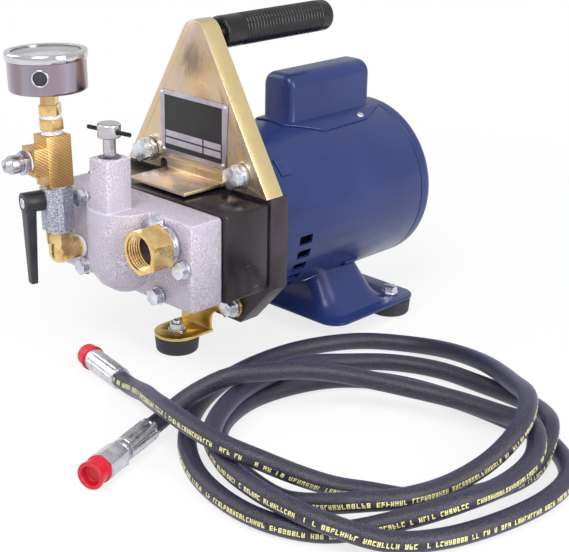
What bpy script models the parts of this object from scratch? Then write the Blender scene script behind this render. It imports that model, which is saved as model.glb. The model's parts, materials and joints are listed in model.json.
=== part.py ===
"""Hydrostatic test pump with its motor, carrying handle, gauge, valve and delivery hose.

Metres, +Z up, +Y towards the motor's rear. The model is laid out with y = 0 at the front face of
the adapter flange and z = 0 on the floor, and hangs from one empty that puts the middle of the
pump's own box at the origin. The valve and gauge stack hangs from an empty that leans it.
"""

import math

import bmesh
import bpy
from mathutils import Matrix, Vector

# Fits
CLEARANCE = 0.0003
OVERRUN = 0.004
MERGE_DISTANCE = 0.000005
SEAM_DISTANCE = 0.0000001

# Roundness, in steps a turn
FINE_STEPS = 32
ROUND_STEPS = 18
SPHERE_STEPS = 16
BOLT_STEPS = 12
SMALL_STEPS = 10
GRIP_STEPS = 12
COVER_STEPS = 4
BALL_RINGS = 6
HEX_SIDES = 6
SHARP_ANGLE = math.radians(35)
SOFTEN_ANGLE = math.radians(50)
SOFTEN_SEGMENTS = 2

# Feet
FOOT_RADIUS = 0.0182
FOOT_HEIGHT = 0.0136
FOOT_TAPER = 0.0012
FOOT_STUD_IN_PAD = 0.0068
REAR_FOOT_FROM_SIDE = 0.0178
REAR_FOOT_FROM_END = 0.0186
FRONT_FOOT_Y = -0.023

# Shaft line
AXIS_HEIGHT = 0.101
SHAFT_RADIUS = 0.0079

# Adapter flange between the crankcase and the motor
FLANGE_LENGTH = 0.0188
FLANGE_HALF_WIDTH = 0.0818
FLANGE_SIDE_LOW = 0.0337
FLANGE_FOOT_HALF_WIDTH = 0.05
FLANGE_FOOT_LOW = 0.0695
FLANGE_HEAD_HIGH = 0.071
FLANGE_HEAD_HALF_WIDTH = 0.05
FLANGE_STEP_HALF_WIDTH = 0.0735
FLANGE_BORE_RADIUS = 0.0295

# Crankcase, the black housing
CASE_LENGTH = 0.0463
CASE_HALF_WIDTH = 0.0807
CASE_ABOVE = 0.0371
CASE_BELOW = 0.0326
CASE_EDGE_RADIUS = 0.0025
CASE_FRONT_WALL = 0.009
CASE_CAVITY_HALF_WIDTH = 0.031
CASE_CAVITY_HALF_HEIGHT = 0.0285

# Pump head casting
HEAD_LENGTH = 0.0315
HEAD_HALF_WIDTH = 0.0788
HEAD_ABOVE = 0.0364
HEAD_BELOW = 0.0325
HEAD_EDGE_RADIUS = 0.0035
BULGE_X = 0.005
BULGE_RADIUS = 0.028
BULGE_TOP_DROP = 0.0006
TOWER_X = 0.0065
TOWER_FORWARD = 0.0136
TOWER_WIDTH = 0.0215
TOWER_DEPTH = 0.0235
TOWER_RISE = 0.0391
TOWER_EDGE_RADIUS = 0.0025
WEEP_HOLE_RADIUS = 0.0011
WEEP_HOLE_DROP = 0.0085
WEEP_HOLE_ASIDE = 0.0045

# Head bolts
HEAD_BOLT_X = 0.0433
HEAD_BOLT_Z = 0.0283
HEAD_END_BOLT_X = 0.0714
HEAD_BOLT_FLATS = 0.0115
HEAD_BOLT_HEAD = 0.0055
HEAD_BOLT_WASHER_RADIUS = 0.007
HEAD_BOLT_WASHER = 0.0016
HEAD_BOLT_SHANK_RADIUS = 0.003
HEAD_BOLT_GRIP_IN_CASE = 0.012

# Plungers and swash plate
PLUNGER_X = 0.021
PLUNGER_RADIUS = 0.007
PLUNGER_STROKE = 0.003
PLUNGER_LENGTH = 0.043
PLUNGER_NOSE_ROOM = 0.0035
SWASH_RADIUS = 0.027
SWASH_THICKNESS = 0.01
SWASH_TILT = math.radians(8)
SWASH_BEHIND_FLANGE_FACE = -0.0095

# Relief valve in the tower
RELIEF_BORE_RADIUS = 0.0075
RELIEF_BORE_DEPTH = 0.0725
RELIEF_MOUTH_RADIUS = 0.0092
RELIEF_MOUTH_DEPTH = 0.0115
POPPET_LENGTH = 0.0075
POPPET_STEM_RADIUS = 0.0035
POPPET_STEM = 0.004
SPRING_WIRE_RADIUS = 0.0009
SPRING_MEAN_RADIUS = 0.0056
SPRING_LENGTH = 0.022
SPRING_TURNS = 6
SPRING_POINTS_A_TURN = 10
FOLLOWER_THICKNESS = 0.0035
SCREW_THREAD_LENGTH = 0.012
SCREW_SHAFT_RADIUS = 0.0048
SCREW_SHAFT_OVER_TOWER = 0.0145
SCREW_HEAD_RADIUS = 0.0087
SCREW_HEAD_LENGTH = 0.0105
SCREW_HEAD_EDGE = 0.0008
TOMMY_RADIUS = 0.0017
TOMMY_LENGTH = 0.0405
TOMMY_BELOW_TOP = 0.0058
TOMMY_TURN = math.radians(9.8)

# Water inlet
INLET_X = 0.0535
INLET_ABOVE_AXIS = 0.0165
INLET_PORT_RADIUS = 0.0085
INLET_PORT_DEPTH = 0.013
NIPPLE_BORE_RADIUS = 0.006
NIPPLE_COLLAR_RADIUS = 0.0098
NIPPLE_COLLAR_LENGTH = 0.0076
NIPPLE_NECK_RADIUS = 0.0083
NIPPLE_LIP_RADIUS = 0.0105
NIPPLE_LIP_LENGTH = 0.0018
INLET_NUT_FLATS = 0.032
INLET_NUT_LENGTH = 0.0195
INLET_NUT_BORE_RADIUS = 0.0134
INLET_NUT_BACK_WALL = 0.003
INLET_NUT_CHAMFER = 0.0016
INLET_NUT_TURN = math.radians(4)
SCREEN_THICKNESS = 0.0012

# Valve and gauge stack
PORT_X = -0.0512
PORT_BELOW_AXIS = 0.012
PORT_RADIUS = 0.0068
PORT_DEPTH = 0.011
STACK_FORWARD = 0.0189
STACK_LEAN = math.radians(2.5)
WATERWAY_RADIUS = 0.0035
PIPE_THREAD_RADIUS = 0.0064
TAPE_RADIUS = 0.0072
ELBOW_RADIUS = 0.0088
ELBOW_COLLAR_FLATS = 0.0195
ELBOW_COLLAR_LOW = 0.009
ELBOW_COLLAR_HIGH = 0.0166
VALVE_LOW = 0.0186
VALVE_LENGTH = 0.0338
VALVE_FLATS = 0.022
VALVE_HEX_TURN = math.radians(30)
VALVE_TURN = math.radians(14)
VALVE_SOCKET_DEPTH = 0.0033
BALL_RADIUS = 0.0052
BALL_STEM_RADIUS = 0.0025
STEM_ABOVE_VALVE_LOW = 0.0247
LEVER_HUB_RADIUS = 0.008
LEVER_HUB_END = 0.0275
LEVER_SOCKET_DEPTH = 0.007
LEVER_ARM_LENGTH = 0.0645
LEVER_ARM_TOP_WIDTH = 0.0135
LEVER_ARM_TOP_DEPTH = 0.0078
LEVER_ARM_TIP_WIDTH = 0.0075
LEVER_ARM_TIP_DEPTH = 0.0055
LEVER_EDGE_RADIUS = 0.0008
TEE_ABOVE_VALVE = 0.0013
TEE_LENGTH = 0.0395
TEE_WIDTH = 0.0205
TEE_TURN = math.radians(8)
TEE_BRANCH_HEIGHT = 0.0215
TEE_BRANCH_END = 0.0208
TEE_BRANCH_ABOVE_LOW = 0.0212
TEE_SOCKET_DEPTH = 0.008
OUTLET_TAPE = 0.0016
OUTLET_HEX = 0.0052
OUTLET_HEX_FLATS = 0.0165
OUTLET_NECK_RADIUS = 0.0058
OUTLET_NECK = 0.0016
OUTLET_THREAD_RADIUS = 0.0071
OUTLET_THREAD = 0.0074
OUTLET_NOSE_RADIUS = 0.0048
OUTLET_NOSE = 0.0041
OUTLET_BORE_RADIUS = 0.0025
BUSHING_TAPE = 0.0037
BUSHING_HEX = 0.008
BUSHING_HEX_FLATS = 0.0172
STEM_TAPE = 0.0027
STEM_BLOCK = 0.008
STEM_BLOCK_WIDTH = 0.0135
STEM_NECK = 0.008
STEM_NECK_WIDTH = 0.0112
STEM_THREAD_DEPTH = 0.005
GAUGE_RADIUS = 0.0295
GAUGE_DEPTH = 0.029
GAUGE_WALL = 0.0012
GAUGE_FLOOR = 0.0015
GAUGE_EDGE_RADIUS = 0.0015
DIAL_BELOW_RIM = 0.0052
DIAL_THICKNESS = 0.001
LENS_THICKNESS = 0.0018
BEZEL_RADIUS = 0.0312
BEZEL_HEIGHT = 0.0066
BEZEL_LIP = 0.0035
BEZEL_OVER_LENS = 0.0012
POINTER_LENGTH = 0.019
POINTER_TAIL = 0.006
POINTER_HALF_WIDTH = 0.001
POINTER_THICKNESS = 0.0006
POINTER_HUB_RADIUS = 0.0024
POINTER_ABOVE_DIAL = 0.0004
POINTER_TURN = math.radians(45)
PLUG_RADIUS = 0.0048
PLUG_AROUND = math.radians(43.5)
PLUG_BELOW_RIM = 0.0123
PLUG_DEPTH = 0.003
PLUG_PROUD = 0.0012
PLUG_RING_RADIUS = 0.0064
PLUG_RING_PROUD = 0.0008

# Carrying bracket and grip
SHEET = 0.0025
HANDLE_HEIGHT = 0.2516
APEX_RADIUS = 0.0128
BRACKET_HALF_WIDTH = 0.0801
BRACKET_LOW_OVER_CASE = 0.0026
BRACKET_RIM = 0.0145
APEX_STEPS = 8
TAB_HALF_WIDTH = 0.0315
TAB_REACH = 0.042
NOTCH_X = 0.0362
NOTCH_RADIUS = 0.0042
NOTCH_RISE = 0.0045
STUD_RADIUS = 0.0045
STUD_COLLAR_RADIUS = 0.0085
STUD_COLLAR_LENGTH = 0.0195
STUD_LENGTH = 0.1
GRIP_RADIUS = 0.0127
GRIP_START = 0.0225
GRIP_LENGTH = 0.121
GRIP_RIBS = 26
GRIP_RIB_START = 0.02
GRIP_RIB_PITCH = 0.0034
GRIP_RIB_DEPTH = 0.0007
GRIP_END_RADIUS = 0.004
BRACKET_BOLT_X = 0.0523
BRACKET_BOLT_OVER_CASE = 0.0157
BRACKET_BOLT_FLATS = 0.0155
BRACKET_BOLT_HEAD = 0.0075
BRACKET_BOLT_WASHER_RADIUS = 0.0098
BRACKET_BOLT_WASHERS = 0.0045
BRACKET_BOLT_SHANK_RADIUS = 0.004
BRACKET_BOLT_GRIP = 0.011
PLATE_HALF_WIDTH = 0.0385
PLATE_LOW_OVER_CASE = 0.017
PLATE_HEIGHT = 0.0507
PLATE_THICKNESS = 0.0012
PLATE_TAPER = 0.0022

# Front foot bracket
FOOT_NECK_HALF_WIDTH = 0.0172
FOOT_FILLET_RADIUS = 0.012
FOOT_EAR_RADIUS = 0.0092
FOOT_TAB_HALF_WIDTH = 0.0186
FOOT_BOLT_X = 0.0441
FOOT_BOLT_HEIGHT = 0.0445
FOOT_BOLT_FLATS = 0.0125
FOOT_BOLT_HEAD = 0.006
FOOT_BOLT_WASHER_RADIUS = 0.0085
FOOT_BOLT_WASHERS = 0.003
FOOT_BOLT_SHANK_RADIUS = 0.0032
FOOT_BOLT_GRIP = 0.01
FOOT_NUT_FLATS = 0.0105
FOOT_NUT_HEIGHT = 0.005
FOOT_NUT_WASHER_RADIUS = 0.0075
FOOT_NUT_WASHER = 0.0013
FOOT_STUD_RADIUS = 0.003
FOOT_STUD_TOP = 0.0025

# Motor
SHELL_RADIUS = 0.071
SHELL_WALL = 0.0025
SHELL_FRONT_WALL = 0.004
SHELL_LENGTH = 0.1784
SHELL_EDGE_RADIUS = 0.002
VENT_COUNT = 5
VENT_START = 0.0255
VENT_LENGTH = 0.0148
VENT_HEIGHT = 0.0078
VENT_FIRST_ANGLE = math.radians(-6)
VENT_PITCH_ANGLE = math.radians(10.5)
GLAND_RADIUS = 0.0088
GLAND_RISE = 0.009
GLAND_HOLE_RADIUS = 0.0038
GLAND_BEFORE_END = 0.017
BELL_LENGTH = 0.018
BELL_SHOULDER = 0.007
BELL_END_RADIUS = 0.054
BELL_WALL = 0.003
BELL_SPIGOT = 0.006
BELL_SLOTS = 8
BELL_SLOT_RADIUS = 0.038
BELL_SLOT_LENGTH = 0.018
BELL_SLOT_WIDTH = 0.005
STATOR_INNER_RADIUS = 0.042
STATOR_START = 0.062
STATOR_END_ROOM = 0.0264
ROTOR_INSET = 0.002
SHAFT_TAIL = 0.002

# Capacitor cover
COVER_START = 0.0695
COVER_END_ROOM = 0.0104
COVER_HALF_WIDTH = 0.0168
COVER_TOP_OVER_AXIS = 0.1095
COVER_TOP_RADIUS = 0.0115
COVER_END_RADIUS = 0.006
COVER_END_SEGMENTS = 3
COVER_END_ANGLE = math.radians(60)
COVER_WALL = 0.0015
SADDLE_WALL = 0.0012
SADDLE_LENGTH_SHARES = (-0.095, 0.24, 0.8, 1.1)
SADDLE_WIDTH_SHARES = (0.9, 2.0, 1.9, 1.15)

# Motor base
BASE_HALF_WIDTH = 0.0855
BASE_START = 0.0742
BASE_LENGTH = 0.1088
BASE_CORNER_RADIUS = 0.016
BASE_CORNER_STEPS = 4
CRADLE_BASE_SIDE_INSET = 0.012
CRADLE_TOP_HALF_WIDTH = 0.0455
CRADLE_BASE_FRONT_INSET = 0.0098
CRADLE_BASE_REAR_INSET = 0.0275
CRADLE_TOP_FRONT_INSET = 0.0178
CRADLE_TOP_REAR_INSET = 0.037
CRADLE_HEIGHT = 0.034
BASE_BOLT_FLATS = 0.0112
BASE_BOLT_HEAD = 0.0048
BASE_BOLT_WASHER_RADIUS = 0.0075
BASE_BOLT_WASHER = 0.0015

# Delivery hose and its ends
HOSE_RADIUS = 0.00675
HOSE_POINTS = 96
HOSE_SIDES_RESOLUTION = 1
CURVE_STEPS = 24
FERRULE_RADIUS = 0.0085
FERRULE_A_LENGTH = 0.043
FERRULE_B_LENGTH = 0.0342
FERRULE_FLUTES = 8
FLUTE_RADIUS = 0.002
FLUTE_DEPTH = 0.0008
FERRULE_BORE_RADIUS = 0.0024
TIP_RADIUS = 0.0062
SWIVEL_RADIUS = 0.0048
SWIVEL_LENGTH = 0.0065
SWIVEL_NOSE = 0.006
HOSE_NUT_FLATS = 0.0178
HOSE_NUT_LENGTH = 0.0208
HOSE_NUT_BORE_RADIUS = 0.0068
HOSE_NUT_BACK_WALL = 0.003
CAP_RADIUS = 0.0098
CAP_WAIST_RADIUS = 0.0088
CAP_RIM = 0.0025
CAP_A_LENGTH = 0.0108
CAP_B_LENGTH = 0.0126
CAP_WALL = 0.0015
CAP_DISH_RADIUS = 0.0074
CAP_DISH_DEPTH = 0.005
CAP_SPIGOT = 0.008
FITTING_A_HOSE_END = (0.0289, -0.1057)
FITTING_A_HEADING = math.radians(-10.5)
FITTING_B_HOSE_END = (0.1051, -0.1427)
FITTING_B_HEADING = math.radians(108)

# The hose's route on the floor, one diameter clear of both fittings: x, y and its middle's height
HOSE_ROUTE = (
    (0.057, -0.113, 0.0135), (0.077, -0.122, 0.0205), (0.101, -0.134, 0.0275), (0.128, -0.145, 0.0340),
    (0.158, -0.152, 0.0360), (0.190, -0.153, 0.0350), (0.218, -0.145, 0.0310), (0.237, -0.130, 0.0220),
    (0.250, -0.111, 0.0120), (0.264, -0.094, 0.0070), (0.296, -0.076, 0.0070), (0.316, -0.046, 0.0070),
    (0.325, -0.010, 0.0080), (0.324, 0.012, 0.0120), (0.315, 0.037, 0.0235), (0.295, 0.060, 0.0200),
    (0.262, 0.082, 0.0110), (0.220, 0.089, 0.0070), (0.182, 0.086, 0.0070), (0.148, 0.070, 0.0070),
    (0.124, 0.040, 0.0090), (0.115, 0.004, 0.0160), (0.118, -0.028, 0.0210), (0.121, -0.060, 0.0215),
    (0.129, -0.088, 0.0215), (0.146, -0.119, 0.0215), (0.165, -0.138, 0.0210), (0.195, -0.153, 0.0205),
    (0.225, -0.160, 0.0210), (0.252, -0.162, 0.0215), (0.284, -0.156, 0.0190), (0.313, -0.134, 0.0100),
    (0.333, -0.102, 0.0070), (0.347, -0.058, 0.0070), (0.351, -0.014, 0.0070), (0.341, 0.022, 0.0070),
    (0.306, 0.049, 0.0070), (0.262, 0.055, 0.0070), (0.216, 0.053, 0.0070), (0.172, 0.042, 0.0070),
    (0.140, 0.018, 0.0070), (0.123, -0.018, 0.0070), (0.119, -0.060, 0.0070), (0.133, -0.100, 0.0070),
    (0.160, -0.125, 0.0070), (0.196, -0.137, 0.0070), (0.232, -0.141, 0.0075), (0.260, -0.136, 0.0140),
    (0.284, -0.125, 0.0210), (0.301, -0.100, 0.0210), (0.310, -0.066, 0.0210), (0.316, -0.032, 0.0280),
    (0.315, 0.000, 0.0395), (0.297, 0.034, 0.0420), (0.264, 0.066, 0.0310), (0.218, 0.098, 0.0200),
    (0.174, 0.112, 0.0120), (0.136, 0.108, 0.0070), (0.104, 0.084, 0.0070), (0.084, 0.048, 0.0070),
    (0.076, 0.008, 0.0070), (0.079, -0.040, 0.0070), (0.098, -0.090, 0.0070), (0.130, -0.130, 0.0070),
    (0.170, -0.157, 0.0070), (0.214, -0.168, 0.0070), (0.252, -0.164, 0.0070), (0.282, -0.145, 0.0070),
    (0.310, -0.113, 0.0150), (0.328, -0.080, 0.0210), (0.334, -0.042, 0.0210), (0.331, -0.008, 0.0240),
    (0.318, 0.015, 0.0295), (0.300, 0.030, 0.0260), (0.278, 0.036, 0.0210), (0.240, 0.033, 0.0200),
    (0.208, 0.022, 0.0210), (0.184, 0.006, 0.0250), (0.165, -0.014, 0.0310), (0.150, -0.038, 0.0365),
    (0.136, -0.061, 0.0375), (0.122, -0.080, 0.0360), (0.110, -0.097, 0.0275), (0.103, -0.113, 0.0185),
)


# Scene and materials

def clear_scene():
    for obj in list(bpy.data.objects):
        bpy.data.objects.remove(obj)


def material(name, colour, roughness, metallic=0.0):
    mat = bpy.data.materials.new(name)
    mat.use_nodes = True
    shader = mat.node_tree.nodes['Principled BSDF']
    shader.inputs['Base Color'].default_value = (*colour, 1.0)
    shader.inputs['Roughness'].default_value = roughness
    shader.inputs['Metallic'].default_value = metallic
    return mat


def empty(name, location, parent=None):
    obj = bpy.data.objects.new(name, None)
    bpy.context.scene.collection.objects.link(obj)
    obj.location = location
    obj.parent = parent
    return obj


# Solids

def object_from(name, bm):
    bmesh.ops.recalc_face_normals(bm, faces=bm.faces)
    if bm.calc_volume(signed=True) < 0:
        bmesh.ops.reverse_faces(bm, faces=bm.faces)
    mesh = bpy.data.meshes.new(name)
    bm.to_mesh(mesh)
    bm.free()
    obj = bpy.data.objects.new(name, mesh)
    bpy.context.scene.collection.objects.link(obj)
    return obj


AXIS_TURNS = {
    'Z': Matrix.Identity(4),
    'Y': Matrix.Rotation(math.radians(-90), 4, 'X'),
    'X': Matrix.Rotation(math.radians(90), 4, 'Y'),
}


PRISM_ORDERS = {
    'Z': lambda a, b, height: (a, b, height),
    'Y': lambda a, b, height: (a, height, b),
    'X': lambda a, b, height: (height, a, b),
}


def prism(name, outline, low, high, axis):
    """An outline of (x, y) points swept along Z, of (x, z) along Y, or of (y, z) along X."""
    bm = bmesh.new()
    ends = [[bm.verts.new(PRISM_ORDERS[axis](a, b, height)) for a, b in outline] for height in (low, high)]
    for ring in ends:
        bm.faces.new(ring)
    count = len(outline)
    for i in range(count):
        j = (i + 1) % count
        bm.faces.new((ends[0][i], ends[0][j], ends[1][j], ends[1][i]))
    return object_from(name, bm)


def box(name, low, high):
    outline = ((low[0], low[1]), (high[0], low[1]), (high[0], high[1]), (low[0], high[1]))
    return prism(name, outline, low[2], high[2], 'Z')


def turned(name, profile, steps, axis='Z', at=(0, 0, 0), ring=False):
    """A profile of (radius, distance along the axis) points, spun round the axis through at."""
    bm = bmesh.new()
    verts = [bm.verts.new((radius, 0, along)) for radius, along in profile]
    edges = [bm.edges.new(pair) for pair in zip(verts, verts[1:])]
    if ring:
        edges.append(bm.edges.new((verts[-1], verts[0])))
    bmesh.ops.spin(bm, geom=verts + edges, cent=(0, 0, 0), axis=(0, 0, 1), dvec=(0, 0, 0),
                   angle=2 * math.pi, steps=steps, use_merge=True, use_duplicate=False)
    bmesh.ops.remove_doubles(bm, verts=bm.verts, dist=SEAM_DISTANCE)
    bm.transform(Matrix.Translation(at) @ AXIS_TURNS[axis])
    return object_from(name, bm)


def rod(name, radius, low, high, steps, axis='Z', at=(0, 0, 0)):
    return turned(name, ((0, low), (radius, low), (radius, high), (0, high)), steps, axis, at)


def stepped(name, sections, steps, axis='Z', at=(0, 0, 0)):
    """Coaxial cylinders end to end, as (radius, end) pairs after the start of the first."""
    start, *rest = sections
    profile = [(0, start)]
    low = start
    for radius, high in rest:
        profile += [(radius, low), (radius, high)]
        low = high
    return turned(name, profile + [(0, low)], steps, axis, at)


def polygon(flats, sides, turn=0):
    """Corners of a regular polygon with the given distance across its flats."""
    radius = flats / 2 / math.cos(math.pi / sides)
    angles = [turn + (i + 0.5) * 2 * math.pi / sides for i in range(sides)]
    return [(radius * math.cos(a), radius * math.sin(a)) for a in angles]


def hexagon(name, flats, low, high, axis='Z', at=(0, 0, 0), turn=0):
    obj = prism(name, polygon(flats, HEX_SIDES, turn), low, high, 'Z')
    obj.data.transform(Matrix.Translation(at) @ AXIS_TURNS[axis])
    return obj


def bake(obj):
    """Replaces an object's mesh by the mesh that its modifiers make."""
    bpy.context.view_layer.update()
    graph = bpy.context.evaluated_depsgraph_get()
    mesh = bpy.data.meshes.new_from_object(obj.evaluated_get(graph))
    obj.modifiers.clear()
    old = obj.data
    obj.data = mesh
    bpy.data.meshes.remove(old)
    return obj


def combine(obj, tool, operation):
    step = obj.modifiers.new(operation, 'BOOLEAN')
    step.operation = operation
    step.solver = 'EXACT'
    step.object = tool
    bake(obj)
    bpy.data.objects.remove(tool)
    return merge_close(obj)


def merge_close(obj):
    """Merges corners that a Boolean left a hair apart, and the slivers between them."""
    bm = bmesh.new()
    bm.from_mesh(obj.data)
    bmesh.ops.remove_doubles(bm, verts=bm.verts, dist=MERGE_DISTANCE)
    bmesh.ops.dissolve_degenerate(bm, dist=MERGE_DISTANCE, edges=bm.edges)
    bm.to_mesh(obj.data)
    bm.free()
    return obj


def join(obj, *tools):
    for tool in tools:
        combine(obj, tool, 'UNION')
    return obj


def cut(obj, *tools):
    for tool in tools:
        combine(obj, tool, 'DIFFERENCE')
    return obj


def soften(obj, width, segments=SOFTEN_SEGMENTS, angle=SOFTEN_ANGLE):
    step = obj.modifiers.new('soften', 'BEVEL')
    step.width = width
    step.segments = segments
    step.limit_method = 'ANGLE'
    step.angle_limit = angle
    return bake(obj)


def place(obj, mat, parent, parent_at=(0, 0, 0), origin=None, smooth=True):
    """Gives a piece its material, its parent and its origin, in the parent's own frame."""
    point = Vector(origin if origin is not None else parent_at)
    obj.data.transform(Matrix.Translation(-point))
    obj.location = point - Vector(parent_at)
    obj.parent = parent
    obj.data.materials.clear()
    obj.data.materials.append(mat)
    if smooth:
        obj.data.shade_smooth()
        obj.data.set_sharp_from_angle(angle=SHARP_ANGLE)
    return obj


# Places that several pieces share

CASE_FRONT = -CASE_LENGTH
HEAD_BACK = CASE_FRONT - CLEARANCE
HEAD_FRONT = HEAD_BACK - HEAD_LENGTH
CASE_TOP = AXIS_HEIGHT + CASE_ABOVE
CASE_BOTTOM = AXIS_HEIGHT - CASE_BELOW
HEAD_TOP = AXIS_HEIGHT + HEAD_ABOVE
HEAD_BOTTOM = AXIS_HEIGHT - HEAD_BELOW
HEAD_MIDDLE = (HEAD_TOP + HEAD_BOTTOM) / 2
SHELL_START = FLANGE_LENGTH + CLEARANCE
SHELL_END = SHELL_START + SHELL_LENGTH
COVER_LENGTH = SHELL_LENGTH - COVER_START - COVER_END_ROOM
REAR_FOOT_X = BASE_HALF_WIDTH - REAR_FOOT_FROM_SIDE
REAR_FOOT_Y = BASE_START + BASE_LENGTH - REAR_FOOT_FROM_END
FITTING_HEIGHT = CAP_RADIUS + CLEARANCE
BELL_START = SHELL_END + CLEARANCE
BELL_END = BELL_START + BELL_LENGTH
TOWER_Y = HEAD_FRONT - TOWER_FORWARD
TOWER_TOP = HEAD_TOP + TOWER_RISE
RELIEF_SEAT = TOWER_TOP - RELIEF_BORE_DEPTH
STACK_Y = HEAD_FRONT - STACK_FORWARD
PORT_Z = AXIS_HEIGHT - PORT_BELOW_AXIS
STACK_AT = (PORT_X, STACK_Y, PORT_Z)
BRACKET_LOW = CASE_TOP + BRACKET_LOW_OVER_CASE
BRACKET_BACK = -CLEARANCE
BRACKET_FRONT = BRACKET_BACK - SHEET
BASE_LOW = FOOT_HEIGHT + CLEARANCE
BASE_TOP = BASE_LOW + SHEET
INLET_Z = AXIS_HEIGHT + INLET_ABOVE_AXIS
INLET_AT = (INLET_X, 0, INLET_Z)

VALVE_HIGH = VALVE_LOW + VALVE_LENGTH
STEM_Z = VALVE_LOW + STEM_ABOVE_VALVE_LOW
TEE_LOW = VALVE_HIGH + TEE_ABOVE_VALVE
TEE_HIGH = TEE_LOW + TEE_LENGTH
BRANCH_Z = TEE_LOW + TEE_BRANCH_ABOVE_LOW
BUSHING_LOW = TEE_HIGH + CLEARANCE
BUSHING_HEX_LOW = BUSHING_LOW + BUSHING_TAPE
BUSHING_HIGH = BUSHING_HEX_LOW + BUSHING_HEX
STEM_LOW = BUSHING_HIGH + CLEARANCE
STEM_BLOCK_LOW = STEM_LOW + STEM_TAPE
STEM_NECK_LOW = STEM_BLOCK_LOW + STEM_BLOCK
STEM_HIGH = STEM_NECK_LOW + STEM_NECK
GAUGE_LOW = STEM_HIGH + CLEARANCE
GAUGE_RIM = GAUGE_LOW + GAUGE_DEPTH
DIAL_LOW = GAUGE_RIM - DIAL_BELOW_RIM
DIAL_TOP = DIAL_LOW + DIAL_THICKNESS
LENS_LOW = GAUGE_RIM + CLEARANCE
LENS_TOP = LENS_LOW + LENS_THICKNESS
OUTLET_TIP = (TEE_BRANCH_END + CLEARANCE + OUTLET_TAPE + OUTLET_HEX + OUTLET_NECK
              + OUTLET_THREAD + OUTLET_NOSE)


def stack_reach(out, turn, half=0):
    """How far forward of the flange face a piece of the stack ends, with its end's half width."""
    return -STACK_Y + out * math.cos(turn) + half * math.sin(turn)


def pump_box_middle():
    """Middle of the box round the pump without its hose, in x and y."""
    front = -max(stack_reach(OUTLET_TIP, TEE_TURN, OUTLET_NOSE_RADIUS), stack_reach(BEZEL_RADIUS, 0),
                 stack_reach(LEVER_HUB_END, VALVE_TURN, LEVER_HUB_RADIUS), TOWER_DEPTH / 2 - TOWER_Y)
    right = max(REAR_FOOT_X + FOOT_RADIUS, BASE_HALF_WIDTH)
    widest = LENS_TOP + BEZEL_OVER_LENS - BEZEL_HEIGHT / 4
    gauge_side = BEZEL_RADIUS * math.cos(STACK_LEAN) + widest * math.sin(STACK_LEAN) - PORT_X
    left = -max(right, gauge_side)
    return (left + right) / 2, (front + BELL_END) / 2


# Pump head and what it carries

def head_bolt_places():
    pairs = [(x, z) for z in (HEAD_BOLT_Z, -HEAD_BOLT_Z) for x in (-HEAD_BOLT_X, HEAD_BOLT_X)]
    ends = [(-HEAD_END_BOLT_X, 0), (HEAD_END_BOLT_X, 0)]
    return [(x, HEAD_MIDDLE + z) for x, z in pairs + ends]


def make_head(mat, frame):
    head = box('pump_head', (-HEAD_HALF_WIDTH, HEAD_FRONT, HEAD_BOTTOM),
               (HEAD_HALF_WIDTH, HEAD_BACK, HEAD_TOP))
    soften(head, HEAD_EDGE_RADIUS)
    join(head, make_bulge(), make_tower())
    mouth_low = TOWER_TOP - RELIEF_MOUTH_DEPTH
    at_tower = (TOWER_X, TOWER_Y, 0)
    cut(head, stepped('relief_bore', (RELIEF_SEAT, (RELIEF_BORE_RADIUS, mouth_low),
                                      (RELIEF_MOUTH_RADIUS, TOWER_TOP + OVERRUN)), ROUND_STEPS, at=at_tower))
    weep_at = (TOWER_X - WEEP_HOLE_ASIDE, 0, TOWER_TOP - WEEP_HOLE_DROP)
    cut(head, rod('weep_hole', WEEP_HOLE_RADIUS, TOWER_Y - TOWER_DEPTH, TOWER_Y - WEEP_HOLE_RADIUS,
                  SMALL_STEPS, 'Y', weep_at))
    for x in (-PLUNGER_X, PLUNGER_X):
        cut(head, rod('plunger_bore', PLUNGER_RADIUS + CLEARANCE, plunger_bore_end(), HEAD_BACK + OVERRUN,
                      ROUND_STEPS, 'Y', (x, 0, AXIS_HEIGHT)))
    cut(head, rod('inlet_port', INLET_PORT_RADIUS, HEAD_FRONT - OVERRUN, HEAD_FRONT + INLET_PORT_DEPTH,
                  ROUND_STEPS, 'Y', INLET_AT))
    cut(head, rod('outlet_port', PORT_RADIUS, HEAD_FRONT - OVERRUN, HEAD_FRONT + PORT_DEPTH, ROUND_STEPS,
                  'Y', (PORT_X, 0, PORT_Z)))
    for x, z in head_bolt_places():
        cut(head, rod('bolt_hole', HEAD_BOLT_SHANK_RADIUS + CLEARANCE, HEAD_FRONT - OVERRUN,
                      HEAD_BACK + OVERRUN, SMALL_STEPS, 'Y', (x, 0, z)))
    return place(head, mat, frame)


def make_bulge():
    """The round boss down the head's front, with a ball-shaped lower end."""
    low = HEAD_BOTTOM + BULGE_RADIUS
    rings = ROUND_STEPS // 4
    angles = [i * math.pi / 2 / rings for i in range(rings + 1)]
    ball = [(BULGE_RADIUS * math.sin(a), low - BULGE_RADIUS * math.cos(a)) for a in angles]
    top = HEAD_TOP - BULGE_TOP_DROP
    profile = [(0, ball[0][1])] + ball[1:] + [(BULGE_RADIUS, top), (0, top)]
    return turned('bulge', profile, FINE_STEPS, at=(BULGE_X, HEAD_FRONT, 0))


def make_tower():
    low = (TOWER_X - TOWER_WIDTH / 2, TOWER_Y - TOWER_DEPTH / 2, AXIS_HEIGHT)
    high = (TOWER_X + TOWER_WIDTH / 2, TOWER_Y + TOWER_DEPTH / 2, TOWER_TOP)
    return soften(box('tower', low, high), TOWER_EDGE_RADIUS)


def bolt_mesh(name, flats, head, washer_radius, washer, shank_radius, shank):
    """A hex bolt on its washer, lying along Y, its seat at y = 0 and its head towards -Y."""
    bolt = stepped(name, (-washer, (washer_radius, 0), (shank_radius, shank)), BOLT_STEPS, 'Y')
    return join(bolt, hexagon('head', flats, -washer - head, -washer / 2, 'Y'))


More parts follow.
